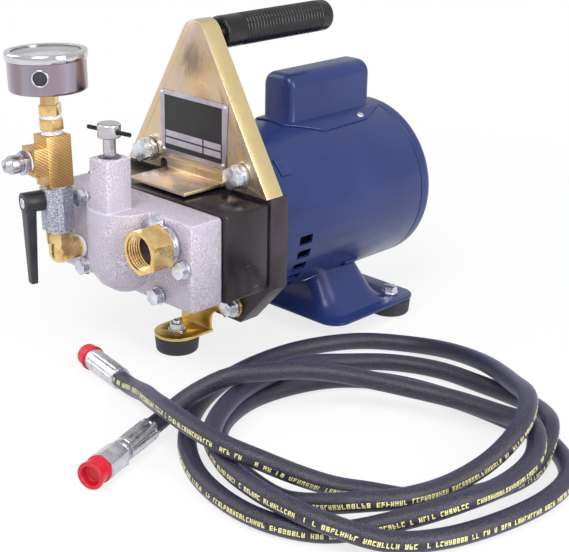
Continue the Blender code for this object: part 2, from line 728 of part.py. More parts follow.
def share_bolts(names, places, seat, first, mat, frame):
    """Sets copies of one bolt at (x, z) places with their seats at the given y."""
    for name, (x, z) in zip(names, places):
        bolt = first if name == names[0] else bpy.data.objects.new(name, first.data)
        if bolt is not first:
            bpy.context.scene.collection.objects.link(bolt)
        bolt.name = name
        bolt.location = (x, seat, z)
        bolt.parent = frame
    first.data.materials.clear()
    first.data.materials.append(mat)


def make_head_bolts(mat, frame):
    names = [f'head_bolt_{i + 1}' for i in range(len(head_bolt_places()))]
    shank = HEAD_LENGTH + HEAD_BOLT_GRIP_IN_CASE
    first = bolt_mesh(names[0], HEAD_BOLT_FLATS, HEAD_BOLT_HEAD, HEAD_BOLT_WASHER_RADIUS, HEAD_BOLT_WASHER,
                      HEAD_BOLT_SHANK_RADIUS, shank)
    share_bolts(names, head_bolt_places(), HEAD_FRONT - CLEARANCE, first, mat, frame)


# Water inlet

def make_inlet(steel, brass, mesh_mat, frame):
    collar_back = HEAD_FRONT - CLEARANCE
    collar_front = collar_back - NIPPLE_COLLAR_LENGTH
    tail_front = collar_front - INLET_NUT_BACK_WALL - 2 * CLEARANCE
    lip_front = tail_front - NIPPLE_LIP_LENGTH
    spigot_end = HEAD_FRONT + INLET_PORT_DEPTH - OVERRUN
    spigot = INLET_PORT_RADIUS - CLEARANCE
    profile = ((NIPPLE_BORE_RADIUS, lip_front), (NIPPLE_LIP_RADIUS, lip_front),
               (NIPPLE_LIP_RADIUS, tail_front), (NIPPLE_NECK_RADIUS, tail_front),
               (NIPPLE_NECK_RADIUS, collar_front),
               (NIPPLE_COLLAR_RADIUS, collar_front), (NIPPLE_COLLAR_RADIUS, collar_back),
               (spigot, collar_back), (spigot, spigot_end), (NIPPLE_BORE_RADIUS, spigot_end))
    place(turned('inlet_nipple', profile, ROUND_STEPS, 'Y', INLET_AT, ring=True), steel, frame)

    nut_back = collar_front - CLEARANCE
    nut_front = nut_back - INLET_NUT_LENGTH
    wall_front = nut_back - INLET_NUT_BACK_WALL
    nut = hexagon('inlet_swivel_nut', INLET_NUT_FLATS, nut_front, nut_back, 'Y', INLET_AT, INLET_NUT_TURN)
    keep_inside_cone(nut, nut_front, nut_back)
    cut(nut, rod('socket', INLET_NUT_BORE_RADIUS, nut_front - OVERRUN, wall_front, ROUND_STEPS, 'Y',
                 INLET_AT))
    cut(nut, rod('collar', NIPPLE_NECK_RADIUS + CLEARANCE, wall_front - OVERRUN, nut_back + OVERRUN,
                 ROUND_STEPS, 'Y', INLET_AT))
    place(nut, brass, frame, origin=(INLET_X, nut_back, INLET_Z))

    screen_back = lip_front - CLEARANCE
    place(rod('inlet_screen', INLET_NUT_BORE_RADIUS - CLEARANCE, screen_back - SCREEN_THICKNESS, screen_back,
              ROUND_STEPS, 'Y', INLET_AT), mesh_mat, frame)


def keep_inside_cone(nut, front, back):
    """Rounds the corners of both ends of the inlet nut, as turning does."""
    across_corners = INLET_NUT_FLATS / math.cos(math.pi / HEX_SIDES) / 2
    tip = INLET_NUT_FLATS / 2
    profile = ((0, front - OVERRUN), (tip, front - OVERRUN), (tip, front),
               (across_corners, front + INLET_NUT_CHAMFER),
               (across_corners + OVERRUN, back - INLET_NUT_CHAMFER),
               (tip, back), (tip, back + OVERRUN), (0, back + OVERRUN))
    combine(nut, turned('lathe', profile, ROUND_STEPS, 'Y', INLET_AT), 'INTERSECT')


# Relief valve and its T-handle screw

def relief_heights():
    poppet_low = RELIEF_SEAT + CLEARANCE
    spring_low = poppet_low + POPPET_LENGTH + CLEARANCE
    follower_low = spring_low + SPRING_LENGTH + CLEARANCE
    screw_low = follower_low + FOLLOWER_THICKNESS + CLEARANCE
    return poppet_low, spring_low, follower_low, screw_low


def make_relief_valve(steel, dark, spring_mat, frame):
    poppet_low, spring_low, follower_low, screw_low = relief_heights()
    at = (TOWER_X, TOWER_Y, 0)
    slack = RELIEF_BORE_RADIUS - 2 * CLEARANCE
    poppet_top = poppet_low + POPPET_LENGTH
    stem_top = poppet_top + POPPET_STEM
    profile = ((0, poppet_low), (POPPET_STEM_RADIUS, poppet_low), (slack, poppet_low + POPPET_STEM_RADIUS),
               (slack, poppet_top), (POPPET_STEM_RADIUS, poppet_top), (POPPET_STEM_RADIUS, stem_top),
               (0, stem_top))
    place(turned('relief_poppet', profile, ROUND_STEPS, at=at), steel, frame)

    make_spring(spring_mat, frame, spring_low)

    follower_top = follower_low + FOLLOWER_THICKNESS
    follower = rod('spring_follower', slack, follower_low, follower_top, ROUND_STEPS, at=at)
    place(follower, steel, frame, origin=(TOWER_X, TOWER_Y, follower_low))

    thread_top = screw_low + SCREW_THREAD_LENGTH
    head_low = TOWER_TOP + SCREW_SHAFT_OVER_TOWER
    head_top = head_low + SCREW_HEAD_LENGTH
    edge = SCREW_HEAD_RADIUS - SCREW_HEAD_EDGE
    profile = ((0, screw_low), (slack, screw_low), (slack, thread_top), (SCREW_SHAFT_RADIUS, thread_top),
               (SCREW_SHAFT_RADIUS, head_low), (edge, head_low),
               (SCREW_HEAD_RADIUS, head_low + SCREW_HEAD_EDGE),
               (SCREW_HEAD_RADIUS, head_top - SCREW_HEAD_EDGE), (edge, head_top), (0, head_top))
    screw = turned('relief_screw', profile, ROUND_STEPS, at=at)
    bar_z = head_top - TOMMY_BELOW_TOP
    cut(screw, bar_rod('cross_hole', TOMMY_RADIUS + CLEARANCE, TOMMY_LENGTH, bar_z))
    place(screw, steel, frame, origin=(TOWER_X, TOWER_Y, screw_low))
    bar = bar_rod('tommy_bar', TOMMY_RADIUS, TOMMY_LENGTH, bar_z)
    place(bar, dark, frame, origin=(TOWER_X, TOWER_Y, bar_z))


def bar_rod(name, radius, length, height):
    bar = rod(name, radius, -length / 2, length / 2, SMALL_STEPS, 'X')
    bar.data.transform(Matrix.Translation((TOWER_X, TOWER_Y, height)) @ Matrix.Rotation(TOMMY_TURN, 4, 'Z'))
    return bar


def make_spring(mat, frame, low):
    """A coil of open turns, its wire's middle one wire radius inside both ends."""
    count = SPRING_TURNS * SPRING_POINTS_A_TURN
    rise = SPRING_LENGTH - 2 * SPRING_WIRE_RADIUS
    points = []
    for i in range(count + 1):
        angle = 2 * math.pi * i / SPRING_POINTS_A_TURN
        height = SPRING_WIRE_RADIUS + rise * i / count
        points.append((SPRING_MEAN_RADIUS * math.cos(angle), SPRING_MEAN_RADIUS * math.sin(angle), height))
    spring = tube('relief_spring', points, SPRING_WIRE_RADIUS, 0)
    spring.location = (TOWER_X, TOWER_Y, low)
    spring.parent = frame
    spring.data.materials.append(mat)


def tube(name, points, radius, resolution):
    curve = bpy.data.curves.new(name, 'CURVE')
    curve.dimensions = '3D'
    curve.bevel_depth = radius
    curve.bevel_resolution = resolution
    curve.use_fill_caps = True
    spline = curve.splines.new('POLY')
    spline.points.add(len(points) - 1)
    for target, point in zip(spline.points, points):
        target.co = (*point, 1)
    obj = bpy.data.objects.new(name, curve)
    bpy.context.scene.collection.objects.link(obj)
    return obj


# Valve and gauge stack, built upright round its own axis with z = 0 on the port's axis

def make_elbow(mat, stack):
    reach = STACK_FORWARD - CLEARANCE
    ball_radius = ELBOW_RADIUS + CLEARANCE
    elbow = sphere('outlet_elbow', ball_radius, (0, 0, 0))
    shoulder = reach - (reach - ELBOW_RADIUS) / 4
    thread_in = reach + PORT_DEPTH - OVERRUN
    arm = (CLEARANCE, (ELBOW_RADIUS - CLEARANCE, shoulder), (TAPE_RADIUS, reach),
           (PIPE_THREAD_RADIUS, thread_in))
    join(elbow, stepped('arm', arm, ROUND_STEPS, 'Y'))
    thread_up = VALVE_LOW + VALVE_SOCKET_DEPTH - CLEARANCE
    collar_middle = (ELBOW_COLLAR_LOW + ELBOW_COLLAR_HIGH) / 2
    riser = (2 * CLEARANCE, (ELBOW_RADIUS, collar_middle), (TAPE_RADIUS, VALVE_LOW - CLEARANCE),
             (PIPE_THREAD_RADIUS, thread_up))
    join(elbow, stepped('riser', riser, ROUND_STEPS))
    join(elbow, hexagon('collar', ELBOW_COLLAR_FLATS, ELBOW_COLLAR_LOW, ELBOW_COLLAR_HIGH))
    cut(elbow, rod('way_up', WATERWAY_RADIUS, 0, thread_up + OVERRUN, SMALL_STEPS))
    cut(elbow, rod('way_in', WATERWAY_RADIUS - CLEARANCE, 0, thread_in + OVERRUN, SMALL_STEPS, 'Y'))
    place(elbow, mat, stack)


def make_valve(steel, ball_mat, lever_mat, valve):
    """Body, ball and lever, in the frame of the valve, whose lever points along -Y."""
    at = (0, 0, STEM_Z)
    body = hexagon('valve_body', VALVE_FLATS, VALVE_LOW, VALVE_HIGH, turn=VALVE_HEX_TURN)
    socket = PIPE_THREAD_RADIUS + CLEARANCE
    cut(body, stepped('way', (VALVE_LOW - OVERRUN, (socket, VALVE_LOW + VALVE_SOCKET_DEPTH),
                              (WATERWAY_RADIUS, VALVE_HIGH - VALVE_SOCKET_DEPTH),
                              (socket, VALVE_HIGH + OVERRUN)), BOLT_STEPS))
    cut(body, sphere('ball_seat', BALL_RADIUS + CLEARANCE, at))
    cut(body, rod('stem_hole', BALL_STEM_RADIUS + CLEARANCE, -VALVE_FLATS, 0, SMALL_STEPS, 'Y', at))
    place(body, steel, valve, smooth=False)

    hub_start = VALVE_FLATS / 2 + CLEARANCE
    stem_end = hub_start + LEVER_SOCKET_DEPTH - CLEARANCE
    way = WATERWAY_RADIUS - CLEARANCE
    edge = math.acos(way / BALL_RADIUS)
    angles = [edge - 2 * edge * i / BALL_RINGS for i in range(BALL_RINGS + 1)]
    profile = [(BALL_RADIUS * math.cos(a), BALL_RADIUS * math.sin(a)) for a in angles]
    ball = turned('valve_ball', profile, ROUND_STEPS, at=at, ring=True)
    join(ball, rod('stem', BALL_STEM_RADIUS, -stem_end, -(BALL_RADIUS + way) / 2, SMALL_STEPS, 'Y', at))
    place(ball, ball_mat, valve, origin=at)

    lever = rod('valve_lever', LEVER_HUB_RADIUS, -LEVER_HUB_END, -hub_start, ROUND_STEPS, 'Y', at)
    join(lever, make_lever_arm())
    cut(lever, rod('stem_socket', BALL_STEM_RADIUS + CLEARANCE, -hub_start - LEVER_SOCKET_DEPTH,
                   -hub_start + OVERRUN, SMALL_STEPS, 'Y', at))
    place(lever, lever_mat, valve, origin=at)


def sphere(name, radius, at):
    rings = SPHERE_STEPS // 2
    middle = [(radius * math.sin(a), -radius * math.cos(a)) for a in
              [i * math.pi / rings for i in range(1, rings)]]
    profile = [(0, -radius)] + middle + [(0, radius)]
    return turned(name, profile, SPHERE_STEPS, 'Y', at)


def make_lever_arm():
    """The tapered arm that hangs from the outer end of the hub."""
    bm = bmesh.new()
    rings = []
    ends = ((LEVER_ARM_TOP_WIDTH, LEVER_ARM_TOP_DEPTH, STEM_Z),
            (LEVER_ARM_TIP_WIDTH, LEVER_ARM_TIP_DEPTH, STEM_Z - LEVER_ARM_LENGTH))
    front = -LEVER_HUB_END + LEVER_EDGE_RADIUS
    for width, depth, height in ends:
        back = front + depth
        corners = ((-width / 2, front), (width / 2, front), (width / 2, back), (-width / 2, back))
        rings.append([bm.verts.new((x, y, height)) for x, y in corners])
    for ring in rings:
        bm.faces.new(ring)
    for i in range(len(rings[0])):
        j = (i + 1) % len(rings[0])
        bm.faces.new((rings[0][i], rings[0][j], rings[1][j], rings[1][i]))
    return soften(object_from('arm', bm), LEVER_EDGE_RADIUS)


def make_tee(brass, steel, tee):
    """Bar-stock tee with its branch along -Y of its own frame, and the outlet fitting on it."""
    half = TEE_WIDTH / 2
    body = box('outlet_tee', (-half, -half, TEE_LOW), (half, half, TEE_HIGH))
    half_height = TEE_BRANCH_HEIGHT / 2
    join(body, box('branch', (-half + CLEARANCE, -TEE_BRANCH_END, BRANCH_Z - half_height),
                   (half - CLEARANCE, 0, BRANCH_Z + half_height)))
    nipple_low = VALVE_HIGH - VALVE_SOCKET_DEPTH + CLEARANCE
    join(body, stepped('nipple', (nipple_low, (PIPE_THREAD_RADIUS, VALVE_HIGH + CLEARANCE),
                                  (TAPE_RADIUS, TEE_LOW + OVERRUN)), ROUND_STEPS))
    socket = PIPE_THREAD_RADIUS + CLEARANCE
    cut(body, stepped('way', (nipple_low - OVERRUN, (WATERWAY_RADIUS, TEE_HIGH - TEE_SOCKET_DEPTH),
                              (socket, TEE_HIGH + OVERRUN)), BOLT_STEPS))
    at = (0, 0, BRANCH_Z)
    cut(body, stepped('branch_way', (-TEE_BRANCH_END - OVERRUN, (socket, -TEE_BRANCH_END + TEE_SOCKET_DEPTH),
                                     (WATERWAY_RADIUS - CLEARANCE, 0)), BOLT_STEPS, 'Y', at))
    place(body, brass, tee, smooth=False)

    tape_in = TEE_BRANCH_END + CLEARANCE
    hex_in = tape_in + OUTLET_TAPE
    hex_out = hex_in + OUTLET_HEX
    neck_out = hex_out + OUTLET_NECK
    thread_out = neck_out + OUTLET_THREAD
    fitting = hexagon('outlet_fitting', OUTLET_HEX_FLATS, -hex_out, -hex_in, 'Y', at)
    thread_in = TEE_BRANCH_END - TEE_SOCKET_DEPTH + CLEARANCE
    profile = ((0, -OUTLET_TIP), (OUTLET_NOSE_RADIUS, -OUTLET_TIP), (OUTLET_NECK_RADIUS, -thread_out),
               (OUTLET_THREAD_RADIUS, -thread_out), (OUTLET_THREAD_RADIUS, -neck_out),
               (OUTLET_NECK_RADIUS, -neck_out), (OUTLET_NECK_RADIUS, -hex_out + OUTLET_HEX / 2),
               (TAPE_RADIUS, -hex_out + OUTLET_HEX / 2), (TAPE_RADIUS, -tape_in),
               (PIPE_THREAD_RADIUS, -tape_in), (PIPE_THREAD_RADIUS, -thread_in), (0, -thread_in))
    join(fitting, turned('barrel', profile, ROUND_STEPS, 'Y', at))
    cut(fitting, rod('fitting_way', OUTLET_BORE_RADIUS, -OUTLET_TIP - OVERRUN, 0, SMALL_STEPS, 'Y', at))
    place(fitting, steel, tee)


def make_gauge(parts, stack):
    brass, steel, chrome, dial_mat, lens_mat, pointer_mat, rubber = parts
    make_gauge_fittings(brass, stack)
    inner = GAUGE_RADIUS - GAUGE_WALL
    edge = GAUGE_EDGE_RADIUS
    floor = GAUGE_LOW + GAUGE_FLOOR
    post = DIAL_LOW - CLEARANCE
    profile = ((0, GAUGE_LOW), (GAUGE_RADIUS - edge, GAUGE_LOW), (GAUGE_RADIUS, GAUGE_LOW + edge),
               (GAUGE_RADIUS, GAUGE_RIM), (inner, GAUGE_RIM), (inner, floor), (POINTER_HUB_RADIUS, floor),
               (POINTER_HUB_RADIUS, post), (0, post))
    case = turned('gauge_case', profile, FINE_STEPS)
    cut_plug_hole(case)
    place(case, steel, stack)

    pin_top = DIAL_TOP + POINTER_ABOVE_DIAL + POINTER_THICKNESS
    pin_radius = POINTER_HUB_RADIUS / 2
    dial = stepped('gauge_dial', (DIAL_LOW, (inner - CLEARANCE, DIAL_TOP), (pin_radius, pin_top)), FINE_STEPS)
    place(dial, dial_mat, stack)

    place(rod('gauge_lens', GAUGE_RADIUS - CLEARANCE, LENS_LOW, LENS_TOP, FINE_STEPS), lens_mat, stack)

    bezel_top = LENS_TOP + BEZEL_OVER_LENS
    bezel_low = bezel_top - BEZEL_HEIGHT
    skirt = GAUGE_RADIUS + CLEARANCE
    lip = GAUGE_RADIUS - BEZEL_LIP
    shoulder = (BEZEL_RADIUS + GAUGE_RADIUS) / 2
    quarter = BEZEL_HEIGHT / 4
    profile = ((skirt, bezel_low), (shoulder, bezel_low), (BEZEL_RADIUS, bezel_low + quarter),
               (BEZEL_RADIUS, bezel_top - quarter), (shoulder, bezel_top), (lip, bezel_top),
               (lip, LENS_TOP + CLEARANCE), (skirt, LENS_TOP + CLEARANCE))
    place(turned('gauge_bezel', profile, FINE_STEPS, ring=True), chrome, stack)
    make_pointer(pointer_mat, stack)
    make_plug(rubber, stack)


def make_gauge_fittings(brass, stack):
    bushing = hexagon('gauge_bushing', BUSHING_HEX_FLATS, BUSHING_HEX_LOW, BUSHING_HIGH)
    thread_low = TEE_HIGH - TEE_SOCKET_DEPTH + CLEARANCE
    hex_middle = (BUSHING_HEX_LOW + BUSHING_HIGH) / 2
    join(bushing, stepped('thread', (thread_low, (PIPE_THREAD_RADIUS, BUSHING_LOW),
                                     (TAPE_RADIUS, hex_middle)), ROUND_STEPS))
    stem_thread = WATERWAY_RADIUS + GAUGE_WALL
    cut(bushing, stepped('way', (thread_low - OVERRUN, (WATERWAY_RADIUS, BUSHING_HIGH - STEM_THREAD_DEPTH),
                                 (stem_thread + CLEARANCE, BUSHING_HIGH + OVERRUN)), SMALL_STEPS))
    place(bushing, brass, stack, smooth=False)

    half = STEM_BLOCK_WIDTH / 2
    stem = box('gauge_stem', (-half, -half, STEM_BLOCK_LOW), (half, half, STEM_NECK_LOW))
    neck = STEM_NECK_WIDTH / 2
    join(stem, box('neck', (-neck, -neck, STEM_NECK_LOW - STEM_BLOCK / 4), (neck, neck, STEM_HIGH)))
    stem_end = BUSHING_HIGH - STEM_THREAD_DEPTH + CLEARANCE
    block_middle = STEM_BLOCK_LOW + STEM_BLOCK / 2
    join(stem, stepped('thread', (stem_end, (stem_thread, STEM_LOW), (TAPE_RADIUS, block_middle)),
                       ROUND_STEPS))
    cut(stem, rod('way', WATERWAY_RADIUS / 2, stem_end - OVERRUN, STEM_NECK_LOW, SMALL_STEPS))
    place(stem, brass, stack, smooth=False)


def make_pointer(mat, stack):
    low = DIAL_TOP + POINTER_ABOVE_DIAL
    high = low + POINTER_THICKNESS
    outline = ((-POINTER_TAIL, -POINTER_HALF_WIDTH), (POINTER_LENGTH, -POINTER_HALF_WIDTH / 4),
               (POINTER_LENGTH, POINTER_HALF_WIDTH / 4), (-POINTER_TAIL, POINTER_HALF_WIDTH))
    pointer = prism('gauge_pointer', outline, low, high, 'Z')
    join(pointer, rod('hub', POINTER_HUB_RADIUS, low, high + POINTER_THICKNESS / 2, SMALL_STEPS))
    cut(pointer, rod('eye', POINTER_HUB_RADIUS / 2 + CLEARANCE, low - OVERRUN, high + OVERRUN, SMALL_STEPS))
    pointer.data.transform(Matrix.Rotation(-POINTER_TURN - math.pi / 2, 4, 'Z'))
    place(pointer, mat, stack, origin=(0, 0, low))


def plug_matrix():
    """Turns a rod along -Y to the plug's place round the case."""
    return Matrix.Rotation(PLUG_AROUND, 4, 'Z') @ Matrix.Translation((0, 0, GAUGE_RIM - PLUG_BELOW_RIM))


def cut_plug_hole(case):
    ring = rod('plug_ring', PLUG_RING_RADIUS, -GAUGE_RADIUS - PLUG_RING_PROUD, -GAUGE_RADIUS + GAUGE_WALL,
               ROUND_STEPS, 'Y')
    ring.data.transform(plug_matrix())
    join(case, ring)
    hole = rod('plug_hole', PLUG_RADIUS + CLEARANCE, -GAUGE_RADIUS - OVERRUN, -GAUGE_RADIUS + OVERRUN,
               ROUND_STEPS, 'Y')
    hole.data.transform(plug_matrix())
    cut(case, hole)


def make_plug(mat, stack):
    out = GAUGE_RADIUS + PLUG_PROUD
    plug = rod('gauge_plug', PLUG_RADIUS, -out, -out + PLUG_DEPTH + PLUG_PROUD, ROUND_STEPS, 'Y')
    plug.data.transform(plug_matrix())
    place(plug, mat, stack)


# Crankcase, flange and pumping works

def swash_sweep():
    """Half the length of the swash plate's sweep along the shaft."""
    return SWASH_RADIUS * math.sin(SWASH_TILT) + SWASH_THICKNESS / 2 / math.cos(SWASH_TILT)


def plunger_tail():
    """Rear end of a plunger at rest, one stroke ahead of the plate's sweep at the plungers."""
    reach = (PLUNGER_X + PLUNGER_RADIUS) * math.tan(SWASH_TILT) + SWASH_THICKNESS / 2 / math.cos(SWASH_TILT)
    return SWASH_BEHIND_FLANGE_FACE - reach - CLEARANCE - PLUNGER_STROKE


def plunger_bore_end():
    return plunger_tail() - PLUNGER_LENGTH - PLUNGER_NOSE_ROOM


def make_crankcase(mat, frame):
    case = box('crankcase', (-CASE_HALF_WIDTH, CASE_FRONT, CASE_BOTTOM),
               (CASE_HALF_WIDTH, -CLEARANCE, CASE_TOP))
    soften(case, CASE_EDGE_RADIUS)
    low = AXIS_HEIGHT - CASE_CAVITY_HALF_HEIGHT
    high = AXIS_HEIGHT + CASE_CAVITY_HALF_HEIGHT
    cut(case, box('cavity', (-CASE_CAVITY_HALF_WIDTH, CASE_FRONT + CASE_FRONT_WALL, low),
                  (CASE_CAVITY_HALF_WIDTH, OVERRUN, high)))
    for x in (-PLUNGER_X, PLUNGER_X):
        cut(case, rod('guide', PLUNGER_RADIUS + CLEARANCE, CASE_FRONT - OVERRUN,
                      CASE_FRONT + CASE_FRONT_WALL + OVERRUN, ROUND_STEPS, 'Y', (x, 0, AXIS_HEIGHT)))
    for x, z in head_bolt_places():
        cut(case, rod('bolt_hole', HEAD_BOLT_SHANK_RADIUS + CLEARANCE, CASE_FRONT - OVERRUN,
                      CASE_FRONT + HEAD_BOLT_GRIP_IN_CASE + CLEARANCE, SMALL_STEPS, 'Y', (x, 0, z)))
    place(case, mat, frame)


def flange_outline():
    """Seen from the front: chamfered towards its foot, narrowed behind the bracket at its head."""
    step = BRACKET_LOW - CLEARANCE
    side_low = AXIS_HEIGHT - FLANGE_SIDE_LOW
    foot = AXIS_HEIGHT - FLANGE_FOOT_LOW
    head = AXIS_HEIGHT + FLANGE_HEAD_HIGH
    half = ((FLANGE_FOOT_HALF_WIDTH, foot), (FLANGE_HALF_WIDTH, side_low), (FLANGE_HALF_WIDTH, step),
            (FLANGE_STEP_HALF_WIDTH, step), (FLANGE_HEAD_HALF_WIDTH, head))
    return list(half) + [(-x, z) for x, z in reversed(half)]


def bracket_bolt_places():
    z = CASE_TOP + BRACKET_BOLT_OVER_CASE
    return [(-BRACKET_BOLT_X, z), (BRACKET_BOLT_X, z)]


def foot_bolt_places():
    return [(-FOOT_BOLT_X, FOOT_BOLT_HEIGHT), (FOOT_BOLT_X, FOOT_BOLT_HEIGHT)]


def make_flange(mat, frame):
    flange = prism('adapter_flange', flange_outline(), 0, FLANGE_LENGTH, 'Y')
    cut(flange, rod('bore', FLANGE_BORE_RADIUS, -OVERRUN, FLANGE_LENGTH + OVERRUN, ROUND_STEPS, 'Y',
                    (0, 0, AXIS_HEIGHT)))
    for x, z in bracket_bolt_places():
        cut(flange, rod('bolt_hole', BRACKET_BOLT_SHANK_RADIUS + CLEARANCE, -OVERRUN,
                        BRACKET_BOLT_GRIP + CLEARANCE, SMALL_STEPS, 'Y', (x, 0, z)))
    for x, z in foot_bolt_places():
        cut(flange, rod('bolt_hole', FOOT_BOLT_SHANK_RADIUS + CLEARANCE, -OVERRUN, FOOT_BOLT_GRIP + CLEARANCE,
                        SMALL_STEPS, 'Y', (x, 0, z)))
    place(flange, mat, frame)


def make_pumping_works(steel, frame):
    at = (0, 0, AXIS_HEIGHT)
    plate = rod('swash_plate', SWASH_RADIUS, -SWASH_THICKNESS / 2, SWASH_THICKNESS / 2, ROUND_STEPS, 'Y')
    middle = (0, SWASH_BEHIND_FLANGE_FACE, AXIS_HEIGHT)
    plate.data.transform(Matrix.Translation(middle) @ Matrix.Rotation(SWASH_TILT, 4, 'X'))
    cut(plate, rod('hub', SHAFT_RADIUS + CLEARANCE, -CASE_LENGTH, FLANGE_LENGTH, ROUND_STEPS, 'Y', at))
    place(plate, steel, frame, origin=middle)
    tail = plunger_tail()
    for name, x in (('plunger_left', -PLUNGER_X), ('plunger_right', PLUNGER_X)):
        place(rod(name, PLUNGER_RADIUS, tail - PLUNGER_LENGTH, tail, ROUND_STEPS, 'Y', (x, 0, AXIS_HEIGHT)),
              steel, frame, origin=(x, tail, AXIS_HEIGHT))


# Carrying bracket, grip and nameplate

def bracket_outline(inset, low):
    """Triangle with a round top, drawn in by the inset and open below at the given height."""
    rise = HANDLE_HEIGHT - BRACKET_LOW
    side_length = math.hypot(BRACKET_HALF_WIDTH, rise)
    slope = math.atan2(rise, BRACKET_HALF_WIDTH) + math.asin(APEX_RADIUS / side_length)
    radius = APEX_RADIUS - inset
    first = math.pi / 2 - slope
    angles = [first + (math.pi - 2 * first) * i / APEX_STEPS for i in range(APEX_STEPS + 1)]
    arc = [(radius * math.cos(a), HANDLE_HEIGHT + radius * math.sin(a)) for a in angles]
    side = arc[0][0] + (arc[0][1] - low) / math.tan(slope)
    return [(side, low)] + arc + [(-side, low)]


def make_bracket(mat, frame):
    bracket = prism('carry_bracket', bracket_outline(0, BRACKET_LOW), BRACKET_FRONT, BRACKET_RIM, 'Y')
    inner = bracket_outline(SHEET, BRACKET_LOW - OVERRUN)
    cut(bracket, prism('inside', inner, BRACKET_BACK, BRACKET_RIM + OVERRUN, 'Y'))
    for x, z in bracket_bolt_places():
        cut(bracket, rod('bolt_hole', BRACKET_BOLT_SHANK_RADIUS + CLEARANCE, BRACKET_FRONT - OVERRUN,
                         BRACKET_BACK + OVERRUN, SMALL_STEPS, 'Y', (x, 0, z)))
    join(bracket, box('tab', (-TAB_HALF_WIDTH, -TAB_REACH, BRACKET_LOW),
                      (TAB_HALF_WIDTH, BRACKET_BACK - CLEARANCE, BRACKET_LOW + SHEET)))
    for x in (-NOTCH_X, NOTCH_X):
        cut(bracket, rod('notch', NOTCH_RADIUS, BRACKET_FRONT - OVERRUN, BRACKET_BACK + OVERRUN,
                         ROUND_STEPS, 'Y', (x, 0, BRACKET_LOW + NOTCH_RISE)))
        cut(bracket, box('notch_mouth', (x - NOTCH_RADIUS, BRACKET_FRONT - OVERRUN, BRACKET_LOW - OVERRUN),
                         (x + NOTCH_RADIUS, BRACKET_BACK + OVERRUN, BRACKET_LOW + NOTCH_RISE)))
    at = (0, 0, HANDLE_HEIGHT)
    collar_end = BRACKET_BACK + STUD_COLLAR_LENGTH
    join(bracket, rod('stud_collar', STUD_COLLAR_RADIUS, BRACKET_BACK - SHEET / 2, collar_end,
                      ROUND_STEPS, 'Y', at))
    join(bracket, rod('stud', STUD_RADIUS, BRACKET_BACK, collar_end + STUD_LENGTH, SMALL_STEPS, 'Y', at))
    place(bracket, mat, frame)


def grip_profile():
    """Outside of the grip, from its bore at the bracket's end to its closed, rounded end."""
    start = GRIP_START
    end = GRIP_START + GRIP_LENGTH
    bore = STUD_RADIUS + CLEARANCE
    bore_end = BRACKET_BACK + STUD_COLLAR_LENGTH + STUD_LENGTH + CLEARANCE
    points = [(0, bore_end), (bore, bore_end), (bore, start), (GRIP_RADIUS - GRIP_RIB_DEPTH, start),
              (GRIP_RADIUS, start + GRIP_RIB_DEPTH)]
    for i in range(GRIP_RIBS):
        y = start + GRIP_RIB_START + i * GRIP_RIB_PITCH
        points += [(GRIP_RADIUS, y), (GRIP_RADIUS - GRIP_RIB_DEPTH, y + GRIP_RIB_PITCH / 2)]
    points.append((GRIP_RADIUS, start + GRIP_RIB_START + GRIP_RIBS * GRIP_RIB_PITCH))
    points += [(GRIP_RADIUS, end - GRIP_END_RADIUS),
               (GRIP_RADIUS - GRIP_END_RADIUS / 4, end - GRIP_END_RADIUS / 3),
               (GRIP_RADIUS - GRIP_END_RADIUS, end), (0, end)]
    return points


def make_grip(mat, frame):
    place(turned('handle_grip', grip_profile(), GRIP_STEPS, 'Y', (0, 0, HANDLE_HEIGHT)), mat, frame)


def make_bracket_bolts(mat, frame):
    names = ['bracket_bolt_left', 'bracket_bolt_right']
    first = bolt_mesh(names[0], BRACKET_BOLT_FLATS, BRACKET_BOLT_HEAD, BRACKET_BOLT_WASHER_RADIUS,
                      BRACKET_BOLT_WASHERS, BRACKET_BOLT_SHANK_RADIUS, SHEET + BRACKET_BOLT_GRIP)
    share_bolts(names, bracket_bolt_places(), BRACKET_FRONT - CLEARANCE, first, mat, frame)


def make_nameplate(mat, frame):
    low = CASE_TOP + PLATE_LOW_OVER_CASE
    high = low + PLATE_HEIGHT
    foot = PLATE_HALF_WIDTH - PLATE_TAPER
    outline = ((-foot, low), (foot, low), (PLATE_HALF_WIDTH, high), (-PLATE_HALF_WIDTH, high))
    back = BRACKET_FRONT - CLEARANCE
    place(prism('nameplate', outline, back - PLATE_THICKNESS, back, 'Y'), mat, frame, smooth=False)


# Front foot

